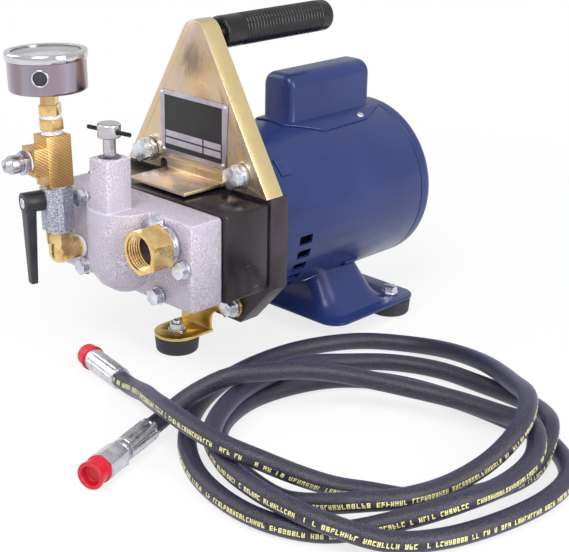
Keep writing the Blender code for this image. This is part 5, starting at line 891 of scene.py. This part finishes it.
def rounded_ring(half, low_y, high_y, radius, z):
    """The points of a rectangle with round corners, at one height."""
    points = []
    corners = ((half, low_y, -90), (half, high_y, 0), (-half, high_y, 90), (-half, low_y, 180))
    for x, y, first in corners:
        cx = x - math.copysign(radius, x)
        cy = y + (radius if y == low_y else -radius)
        for turn in quarter(CORNER_STEPS):
            a = math.radians(first) + turn
            points.append((cx + radius * math.cos(a), cy + radius * math.sin(a), z))
    return points


def pressed_dome(name, inset, low):
    """The base's raised middle, with a soft foot; inset draws it in by the sheet."""
    rings = [rounded_ring(DOME_HALF + DOME_FOOT - inset, DOME_FRONT - DOME_FOOT + inset,
                          DOME_REAR + DOME_FOOT - inset, DOME_CORNER, low)]
    for i in range(DOME_STEPS + 1):
        t = (i / DOME_STEPS) ** 2
        flare = DOME_FOOT * max(0.0, 1 - t / DOME_FLARE) ** 2 - inset
        half = DOME_HALF + (DOME_TOP_HALF - DOME_HALF) * t + flare
        front = DOME_FRONT + (DOME_TOP_FRONT - DOME_FRONT) * t - flare
        rear = DOME_REAR + (DOME_TOP_REAR - DOME_REAR) * t + flare
        rings.append(rounded_ring(half, front, rear, DOME_CORNER, BASE_TOP - inset + DOME_HEIGHT * t))
    return loft(name, rings)


def make_base():
    end = BASE_START + BASE_LENGTH
    under = BASE_TOP - SHEET - OVERRUN
    rings = [rounded_ring(BASE_HALF, BASE_START, end, BASE_CORNER, z) for z in (BASE_TOP - SHEET, BASE_TOP)]
    base = soften(loft('motor_base_skin', rings), 0.0008, 2)
    combine(base, pressed_dome('dome', 0.0, BASE_TOP - SHEET / 2), 'UNION')
    cut(base, pressed_dome('hollow', SHEET, under))
    cut(base, rod('seat', SHELL_RADIUS + GAP, BASE_START - OVERRUN, end + OVERRUN, FINE, 'Y', MOTOR_AT))
    for _, x, y in FEET[1:]:
        cut(base, rod('stud_hole', FOOT_HOLE, under, BASE_TOP + OVERRUN, SMALL, at=(x, y, 0)))
    show(base, 'motor_enamel', 'motor_base')


def make_shell_tabs():
    """The pressed lip near the shell's front and the weld tabs above the base."""
    places = (('shell_lip', 44.5, 0.044, 0.006, 0.0075, 0.0016),
              ('weld_tab_right', -46, 0.13, 0.008, 0.0032, 0.0018),
              ('weld_tab_left', 226, 0.13, 0.008, 0.0032, 0.0018))
    for name, angle, y, half, wide, high in places:
        tab = box(name, (SHELL_RADIUS - 0.0008, y - half, -wide), (SHELL_RADIUS + high, y + half, wide))
        show(round_motor(soften(tab, 0.0009, 3), -angle), 'motor_enamel')


def make_cover_screws():
    radius = 0.0036
    foot = 0.0722
    edge = 0.0731
    top = 0.0741
    outline = ((0, foot), (radius, foot), (radius, edge), (radius / 2, top), (0, top))
    for side, lean in (('right', 22), ('left', -22)):
        screw = turned(f'cover_screw_{side}', rounded(outline, 0.0009, 3), SMALL * 2)
        cut(screw, box('slot', (-0.0005, -0.005, top - 0.0005), (0.0005, 0.005, 0.08)))
        screw.data.transform(Matrix.Translation((0, 0.1625, AXIS)) @ turning(lean, 'Y') @ turning(35, 'Z'))
        show(screw, 'zinc_plate')


def make_creases():
    """Two fine fold lines on the bracket's face, inside its slanting sides."""
    for side in (-1, 1):
        low = Vector((side * CREASE_LOW[0], CREASE_LOW[1]))
        high = Vector((side * CREASE_HIGH[0], CREASE_HIGH[1]))
        across = (high - low).orthogonal().normalized() * CREASE_HALF
        outline = [low - across, low + across, high + across, high - across]
        crease = prism(f'bracket_crease_{side}', outline, -0.00292, -0.0028, 'Y')
        show(crease, 'gold_zinc', slot='yellow_zinc')


def make_inlet_collar():
    """Ringed collar between the inlet nut and the head."""
    rings = ridges(3, COLLAR_START, 0.0024, 0.0134, 0.0142, (0, 0.0005, 0.0015, 0.002))
    profile = [(COLLAR_BORE, COLLAR_START), *rings, (COLLAR_BORE, COLLAR_END)]
    show(turned('inlet_collar', profile, ROUND, 'Y', INLET_AT, ring=True), 'zinc_plate')


def make_inlet_threads():
    """Thread ridges inside the swivel nut."""
    rings = ridges(5, THREADS_START + 0.0016, 0.0022, 0.0133, 0.0124, (0, 0.0007, 0.001, 0.0017))
    profile = [(THREADS_OUTER, THREADS_START), *rings, (THREADS_OUTER, THREADS_START + THREADS_LENGTH)]
    show(turned('inlet_threads', profile, ROUND, 'Y', INLET_AT, ring=True), 'brass', body='inlet_nut')


# Grip, nameplate and feet

def make_grip():
    end = GRIP_START + GRIP_LENGTH
    ribbed = GRIP_START + RIB_START
    points = [(0, STUD_END), (STUD_RADIUS, STUD_END), (STUD_RADIUS, GRIP_START)]
    shoulder = ((STUD_RADIUS, GRIP_START), (GRIP_RADIUS, GRIP_START), (GRIP_RADIUS, ribbed))
    points += rounded(shoulder, 0.0018)[1:]
    for i in range(RIBS):
        y = ribbed + i * RIB_PITCH
        for share, drop in ((0.12, 0), (0.3, 0.8), (0.5, 1), (0.7, 0.8), (0.88, 0)):
            points.append((GRIP_RADIUS - RIB_DEPTH * drop, y + RIB_PITCH * share))
    points += rounded(((GRIP_RADIUS, end - 2 * GRIP_END), (GRIP_RADIUS, end), (0, end)), GRIP_END, 8)
    show(turned('handle_grip_skin', points, ROUND, 'Y', (0, 0, HANDLE)), 'grip_vinyl', 'handle_grip')


def panel(name, mat, left, right, low, high, layer):
    """A thin sheet on the plate's face, or on the layer before it."""
    back = PLATE_FRONT - layer * FILM
    sheet = box(name, (left, back - FILM, low), (right, back, high))
    show(soften(sheet, FILM / 2, 1), mat, slot='name_plate')


def make_nameplate():
    foot = PLATE_HALF - PLATE_TAPER
    outline = ((-foot, PLATE_LOW), (foot, PLATE_LOW), (PLATE_HALF, PLATE_HIGH), (-PLATE_HALF, PLATE_HIGH))
    plate = soften(prism('nameplate_skin', outline, PLATE_FRONT, PLATE_BACK, 'Y'), 0.0003, 2)
    show(plate, 'name_plate', 'nameplate')
    inner = foot - PLATE_BORDER
    panel('plate_field', 'plate_field', -inner, inner, PLATE_LOW + PLATE_BORDER, PLATE_HIGH - PLATE_BORDER, 0)
    split = 0.3 * foot
    end = inner - 0.0012
    for i in range(2):
        low = PLATE_LOW + PLATE_BORDER + 0.0042 + i * ROW_PITCH
        panel(f'plate_row_{i}_wide', 'plate_row', -end, split, low, low + ROW_HEIGHT, 1)
        panel(f'plate_row_{i}_narrow', 'plate_row', split + 0.0016, end, low, low + ROW_HEIGHT, 1)


def make_rivets():
    dome = [(RIVET_RADIUS * math.sin(a), -RIVET_HEIGHT * math.cos(a)) for a in quarter(8)]
    low = (PLATE_HALF - PLATE_TAPER - RIVET_INSET, PLATE_LOW + RIVET_INSET)
    high = (PLATE_HALF - RIVET_INSET, PLATE_HIGH - RIVET_INSET)
    for i, (side, (x, z)) in enumerate(((-1, low), (1, low), (-1, high), (1, high))):
        at = (side * x, PLATE_FRONT, z)
        show(turned(f'plate_rivet_{i}', dome + [(0, 0)], SMALL, 'Y', at), 'zinc_plate')


def make_feet():
    outline = ((0, 0), (FOOT_RADIUS - FOOT_TAPER, 0), (FOOT_RADIUS, FOOT_HEIGHT), (FOOT_HOLE, FOOT_HEIGHT))
    profile = rounded(outline, 0.0026, 6) + [(FOOT_HOLE, FOOT_FLOOR), (0, FOOT_FLOOR)]
    for name, x, y in FEET:
        show(turned(f'{name}_skin', profile, at=(x, y, 0)), 'black_rubber', name)


# Gauge

def make_gauge_case():
    inner = GAUGE_RADIUS - GAUGE_WALL
    floor = GAUGE_LOW + GAUGE_EDGE
    outer = rounded(((0, GAUGE_LOW), (GAUGE_RADIUS, GAUGE_LOW), (GAUGE_RADIUS, GAUGE_RIM)), 0.003, 6)
    case = turned('gauge_case_skin', outer + [(inner, GAUGE_RIM), (inner, floor), (GAUGE_POST, floor),
                                              (GAUGE_POST, DIAL_LOW - GAP), (0, DIAL_LOW - GAP)], FINE)
    hole = rod('plug_hole', PLUG_HOLE, -GAUGE_RADIUS - OVERRUN, -GAUGE_RADIUS + OVERRUN, ROUND, 'Y', PLUG_AT)
    hole.data.transform(PLUG_TURN)
    cut(case, hole)
    show(case, 'gauge_steel', 'gauge_case', matrix=STACK)


def make_gauge_plug():
    """The black plug in the case's side, with a bright ring round it."""
    outline = ((PLUG_HOLE, -0.0286), (PLUG_HOLE, -0.0303), (0.0064, -0.0303), (0.0064, -0.028))
    ring = turned('gauge_plug_ring', rounded(outline, 0.0005), ROUND, 'Y', PLUG_AT, ring=True)
    show(ring, 'gauge_chrome', matrix=STACK @ PLUG_TURN)
    plug = button('gauge_plug_skin', PLUG_RADIUS, PLUG_FACE, PLUG_ROOT, 0.0008, 'Y', PLUG_AT)
    show(plug, 'black_rubber', 'gauge_plug', matrix=STACK @ PLUG_TURN)


def make_gauge_front():
    """The rolled bezel and the lens."""
    skirt = GAUGE_RADIUS + GAP
    seat = LENS_TOP + GAP
    half = (BEZEL_TOP - BEZEL_LOW) / 2
    middle = BEZEL_RADIUS - BEZEL_ROLL
    roll = [(skirt, BEZEL_LOW), (skirt + 0.0004, BEZEL_LOW)]
    for i in range(13):
        a = -math.pi / 2 + i * math.pi / 12
        roll.append((middle + BEZEL_ROLL * math.cos(a), BEZEL_LOW + half + half * math.sin(a)))
    roll += [(BEZEL_LIP + 0.0008, BEZEL_TOP), (BEZEL_LIP, BEZEL_TOP - 0.0006),
             (BEZEL_LIP, seat), (skirt, seat)]
    show(turned('gauge_bezel_skin', roll, FINE, ring=True), 'gauge_chrome', 'gauge_bezel', matrix=STACK)
    lens = rod('gauge_lens_skin', GAUGE_RADIUS - GAP, LENS_LOW, LENS_TOP, FINE)
    show(lens, 'gauge_glass', 'gauge_lens', matrix=STACK)


def make_dial():
    edge = GAUGE_RADIUS - GAUGE_WALL - GAP
    hub = DIAL_TOP + HUB_HEIGHT
    dial = turned('gauge_dial_skin', ((0, DIAL_LOW), (edge, DIAL_LOW), (edge, DIAL_TOP),
                                      (HUB_RADIUS, DIAL_TOP), (HUB_RADIUS, hub), (0, hub)), FINE)
    show(dial, 'dial_print', 'gauge_dial', matrix=STACK)


def make_dial_marks():
    bm = bmesh.new()
    for i in range(MARKS + 1):
        long, wide = (0.0018, 0.0003) if i % 5 else (0.0032, 0.00055)
        at = Matrix.Translation((MARK_RING - long / 2, 0, DIAL_TOP + INK))
        matrix = turning(DIAL_START - i * DIAL_SWEEP / MARKS, 'Z') @ at
        bmesh.ops.create_cube(bm, size=1, matrix=matrix @ Matrix.Diagonal((long, wide, 2 * INK, 1)))
    show(object_from('dial_marks', bm), 'pointer_paint', matrix=STACK)


def make_dial_numbers():
    for i in range(6):
        angle = math.radians(DIAL_START - i * DIAL_SWEEP / 5)
        words = bpy.data.curves.new(f'dial_number_{i}', 'FONT')
        words.body = str(i)
        words.size = NUMBER_SIZE
        words.extrude = INK
        words.align_x = 'CENTER'
        words.align_y = 'CENTER'
        text = add_object('words', words)
        number = add_object(f'dial_number_{i}', current_mesh(text))
        bpy.data.objects.remove(text)
        at = (NUMBER_RING * math.cos(angle), NUMBER_RING * math.sin(angle), DIAL_TOP + INK)
        number.data.transform(Matrix.Translation(at))
        show(number, 'pointer_paint', matrix=STACK)


# Small pieces on the stack

def make_tapes():
    """White thread tape, wound unevenly at each pipe joint of the stack."""
    middle = (0, 0, 0)
    places = (
        ('tape_head', STACK, 'Y', middle, 0.0158, 0.0185, 0.0094),
        ('tape_riser', STACK, 'Z', middle, 0.0160, 0.0187, 0.0095),
        ('tape_valve', STACK, 'Z', middle, 0.0519, 0.0542, 0.0102),
        ('tape_outlet', TEE, 'Y', (0, 0, 0.0749), -0.0226, -0.0209, 0.0079),
        ('tape_bushing', STACK, 'Z', middle, 0.0934, 0.0971, 0.0079),
        ('tape_stem', STACK, 'Z', middle, 0.1054, 0.1081, 0.0077),
    )
    for name, matrix, axis, at, low, high, radius in places:
        profile = [(radius - TAPE_THICK, low)]
        for i in range(TAPE_WINDS + 1):
            profile.append((radius - 0.00025 * (i % 2), low + (high - low) * i / TAPE_WINDS))
        profile.append((radius - TAPE_THICK, high))
        show(turned(name, profile, ROUND, axis, at, ring=True), 'tape', slot='dial_print', matrix=matrix)


def make_lever_screw():
    face = -0.0279
    screw = button('lever_screw', 0.004, face, face + 0.0005, 0.0003, 'Y', LEVER_AT)
    socket = prism('socket', hexagon(0.0038), face - 0.0004, face + 0.0003, 'Y')
    socket.data.transform(Matrix.Translation(LEVER_AT))
    cut(screw, socket)
    show(screw, 'zinc_plate', body='valve_handle', matrix=VALVE)


# Hose and its fittings

def flute(ferrule, start, end):
    """Grooves pressed along a ferrule."""
    out = FERRULE_RADIUS + FLUTE_RADIUS - FLUTE_DEPTH
    for i in range(FLUTES):
        a = 2 * math.pi * (i + 0.5) / FLUTES
        tool = rod('flute', FLUTE_RADIUS, start, end, 12, 'X', (0, out * math.cos(a), out * math.sin(a)))
        cut(ferrule, soften(tool, 0.0004, 1, 60))


def make_fitting(letter, end, heading, length, start, sharp, soft, cap, cap_body):
    """A fluted ferrule behind its stem, whose front has sharp and then soft corners, and a red cap."""
    matrix = TO_MIDDLE @ Matrix.Translation((*end, LIE)) @ Matrix.Rotation(heading, 4, 'Z')
    matrix = matrix @ Matrix.Translation((-length, 0, 0))
    corners = [*soft, (soft[-1][0], start), (FERRULE_RADIUS, start), (FERRULE_RADIUS, length), (0, length)]
    ferrule = turned(f'hose_ferrule_{letter}_skin', sharp + rounded(corners, 0.0008, 3), ROUND, 'X')
    flute(ferrule, start + FLUTE_START, length - FLUTE_END)
    show(ferrule, 'ferrule_plate', f'hose_ferrule_{letter}', matrix=matrix)
    cap = turned(f'hose_cap_{letter}_skin', cap, ROUND, 'X')
    show(cap, 'cap_red', f'hose_cap_{letter}', body=cap_body, matrix=matrix)
    return [ferrule, cap]


def make_fitting_a():
    """The plain end."""
    tip = CAP_WALL + GAP
    rim = CAP_A - CAP_RIM
    cap = rounded(((0, 0), (CAP_WAIST, 0), (CAP_WAIST, rim), (CAP_RADIUS, rim), (CAP_RADIUS, CAP_A),
                   (CAP_BORE, CAP_A), (CAP_BORE, CAP_WALL), (0, CAP_WALL)), 0.0012, 5)
    return make_fitting('a', END_A, HEADING_A, LENGTH_A, CAP_A + GAP, [], [(0, tip), (STEM_A, tip)],
                        cap, 'plain_end_cap')


def make_fitting_b():
    """The end with the swivel nut, whose cap is pushed into the nut."""
    nose = CAP_B + NUT_LENGTH - NUT_WALL
    sharp = [(0, nose - NOSE_LENGTH), (NOSE_RADIUS, nose - NOSE_LENGTH), (NOSE_RADIUS, nose)]
    waist = CAP_B - CAP_RIM
    plug = CAP_B + CAP_B_PLUG
    cap = rounded(((0, CAP_B_DIMPLE), (0.0059, CAP_B_DIMPLE), (0.0072, 0), (CAP_RADIUS, 0),
                   (CAP_RADIUS, CAP_RIM), (CAP_WAIST, CAP_RIM), (CAP_WAIST, waist), (CAP_RADIUS, waist),
                   (CAP_RADIUS, CAP_B), (CAP_BORE, CAP_B), (CAP_BORE, plug), (0, plug)), 0.0008, 4)
    return make_fitting('b', END_B, HEADING_B, LENGTH_B, LENGTH_B - FERRULE_B, sharp, [(STEM_B, nose)],
                        cap, 'swivel_end_cap')


def smooth_points(route, count):
    """Evenly spaced points on a smooth curve through all but the first and last of the route's."""
    dense = []
    for a, b, c, d in zip(route, route[1:], route[2:], route[3:]):
        for i in range(CURVE_STEPS):
            t = i / CURVE_STEPS
            dense.append(((2 * b) + (c - a) * t + (2 * a - 5 * b + 4 * c - d) * t ** 2
                          + (3 * b - a - 3 * c + d) * t ** 3) / 2)
    dense.append(route[-2])
    lengths = [0]
    for a, b in zip(dense, dense[1:]):
        lengths.append(lengths[-1] + (b - a).length)
    points = []
    j = 0
    for i in range(count):
        target = lengths[-1] * i / (count - 1)
        while j < len(lengths) - 2 and lengths[j + 1] < target:
            j += 1
        points.append(dense[j].lerp(dense[j + 1], (target - lengths[j]) / (lengths[j + 1] - lengths[j])))
    return points


def hose_points():
    ends = []
    for end, heading in ((END_A, HEADING_A), (END_B, HEADING_B)):
        forward = Vector((math.cos(heading), math.sin(heading), 0))
        start = Vector((*end, LIE)) + forward * GAP
        ends.append((start, start + forward * 2 * HOSE_RADIUS))
    (start, after), (end, before) = ends
    inner = smooth_points([start, after] + [Vector(p) for p in HOSE_ROUTE] + [before, end], HOSE_POINTS)
    return [p - MIDDLE for p in [start] + inner + [end]]


def hose_ring(point, ahead):
    """Points round the hose, from its printed outer side on."""
    outward = Vector(((point + MIDDLE).x - COIL_AT[0], (point + MIDDLE).y - COIL_AT[1], 0)).normalized()
    outward.z = PRINT_RISE
    up = (outward - ahead * outward.dot(ahead)).normalized()
    side = ahead.cross(up)
    angles = [2 * math.pi * k / HOSE_SIDES for k in range(HOSE_SIDES)]
    return [point + (up * math.cos(a) + side * math.sin(a)) * HOSE_RADIUS for a in angles]


def make_hose(pieces):
    """A smooth tube whose UV map runs along it in metres and round it from its printed outer side."""
    points = hose_points()
    bm = bmesh.new()
    layer = bm.loops.layers.uv.new('route')
    rings = []
    along = [0.0]
    for i, point in enumerate(points):
        ahead = (points[min(i + 1, len(points) - 1)] - points[max(i - 1, 0)]).normalized()
        rings.append([bm.verts.new(place) for place in hose_ring(point, ahead)])
        if i:
            along.append(along[-1] + (point - points[i - 1]).length)
    for i in range(len(rings) - 1):
        for k in range(HOSE_SIDES):
            m = (k + 1) % HOSE_SIDES
            face = bm.faces.new((rings[i][k], rings[i][m], rings[i + 1][m], rings[i + 1][k]))
            first = (k if k <= HOSE_SIDES // 2 else k - HOSE_SIDES) / HOSE_SIDES
            second = first + 1 / HOSE_SIDES
            corners = ((along[i], first), (along[i], second), (along[i + 1], second), (along[i + 1], first))
            for loop, corner in zip(face.loops, corners):
                loop[layer].uv = (corner[0], corner[1] * math.pi / 2)
    bm.faces.new(rings[0])
    bm.faces.new(rings[-1])
    hose = object_from('hose_skin', bm)
    show(hose, 'hose_rubber', 'hose', matrix=Matrix.Identity(4))


# Stage

def make_floor():
    """White to the camera, with a share of plain floor near the pump, where its shadow falls."""
    bm = bmesh.new()
    bmesh.ops.create_grid(bm, x_segments=1, y_segments=1, size=FLOOR_HALF)
    floor = object_from('floor', bm)
    made = Finish('floor', 0.9)
    made.colour((0.9, 0.9, 0.9, 1))
    made.set('Specular IOR Level', 0.1)
    white = made.node('ShaderNodeEmission', {'Color': WHITE})
    length = made.node('ShaderNodeVectorMath', {0: made.place()}, operation='LENGTH').outputs['Value']
    far = made.spread(length, 0.35, 0.75, 0.78, 1.0)
    made.blend(made.all_of(far, made.seen_rays()), made.shader, white, 'Material Output')
    floor.data.materials.append(made.mat)
    floor.location.z = -FLOOR_DROP


def make_world():
    world = bpy.data.worlds.new('studio')
    bpy.context.scene.world = world
    made = Tree(world)
    back = made.nodes['Background']
    made.fill(back, {'Color': (0.93, 0.95, 1.0, 1), 'Strength': 0.55})
    glossy = made.node('ShaderNodeLightPath', {}).outputs['Is Glossy Ray']
    dim = made.spread(glossy, 0, 1, 1.0, GLOSS_WORLD)
    white = made.node('ShaderNodeBackground', {'Color': WHITE, 'Strength': dim})
    made.blend(made.seen_rays(), back, white, 'World Output')


def make_lights():
    lamps = (('key', (0.5, -1.1, 1.5), (0.9, 0.9), 19), ('fill', (-1.2, -0.7, 0.9), (0.8, 1.0), 7),
             ('side', (1.4, 0.0, 0.7), (0.6, 1.0), 13))
    for name, at, size, power in lamps:
        data = bpy.data.lights.new(name, 'AREA')
        data.shape = 'RECTANGLE'
        data.size, data.size_y = size
        data.energy = power
        lamp = add_object(name, data)
        lamp.location = at
        lamp.rotation_euler = (LAMPS_AIM - Vector(at)).to_track_quat('-Z', 'Y').to_euler()


def make_camera():
    data = bpy.data.cameras.new('camera')
    data.sensor_width = SENSOR
    data.lens = CAMERA_LENS
    data.clip_start = 0.01
    camera = add_object('camera', data)
    turn = turning(CAMERA_AROUND, 'Z') @ turning(90 - CAMERA_UP, 'X') @ turning(CAMERA_ROLL, 'Z')
    camera.matrix_world = Matrix.Translation(CAMERA_AT) @ turn
    bpy.context.scene.camera = camera


def main():
    make_camera()
    make_world()
    make_lights()
    make_floor()
    bpy.context.scene.view_settings.view_transform = 'Standard'
    for name in INSIDE:
        keep_inside_node(name)
    skins = {}
    for name in sorted(set(frame['nodes']) - set(REMADE) - set(INSIDE)):
        skins[name] = refine(name)
    for make in (make_spring, make_shell, make_bell, make_cover, make_base, make_shell_tabs,
                 make_cover_screws, make_grip, make_creases, make_nameplate, make_rivets, make_feet,
                 make_gauge_case, make_gauge_plug, make_gauge_front, make_dial, make_dial_marks,
                 make_dial_numbers, make_tapes, make_lever_screw, make_inlet_threads, make_inlet_collar):
        make()
    make_hose(make_fitting_a() + make_fitting_b() + [skins['hose_nut_b']])


MATS = make_materials()
main()
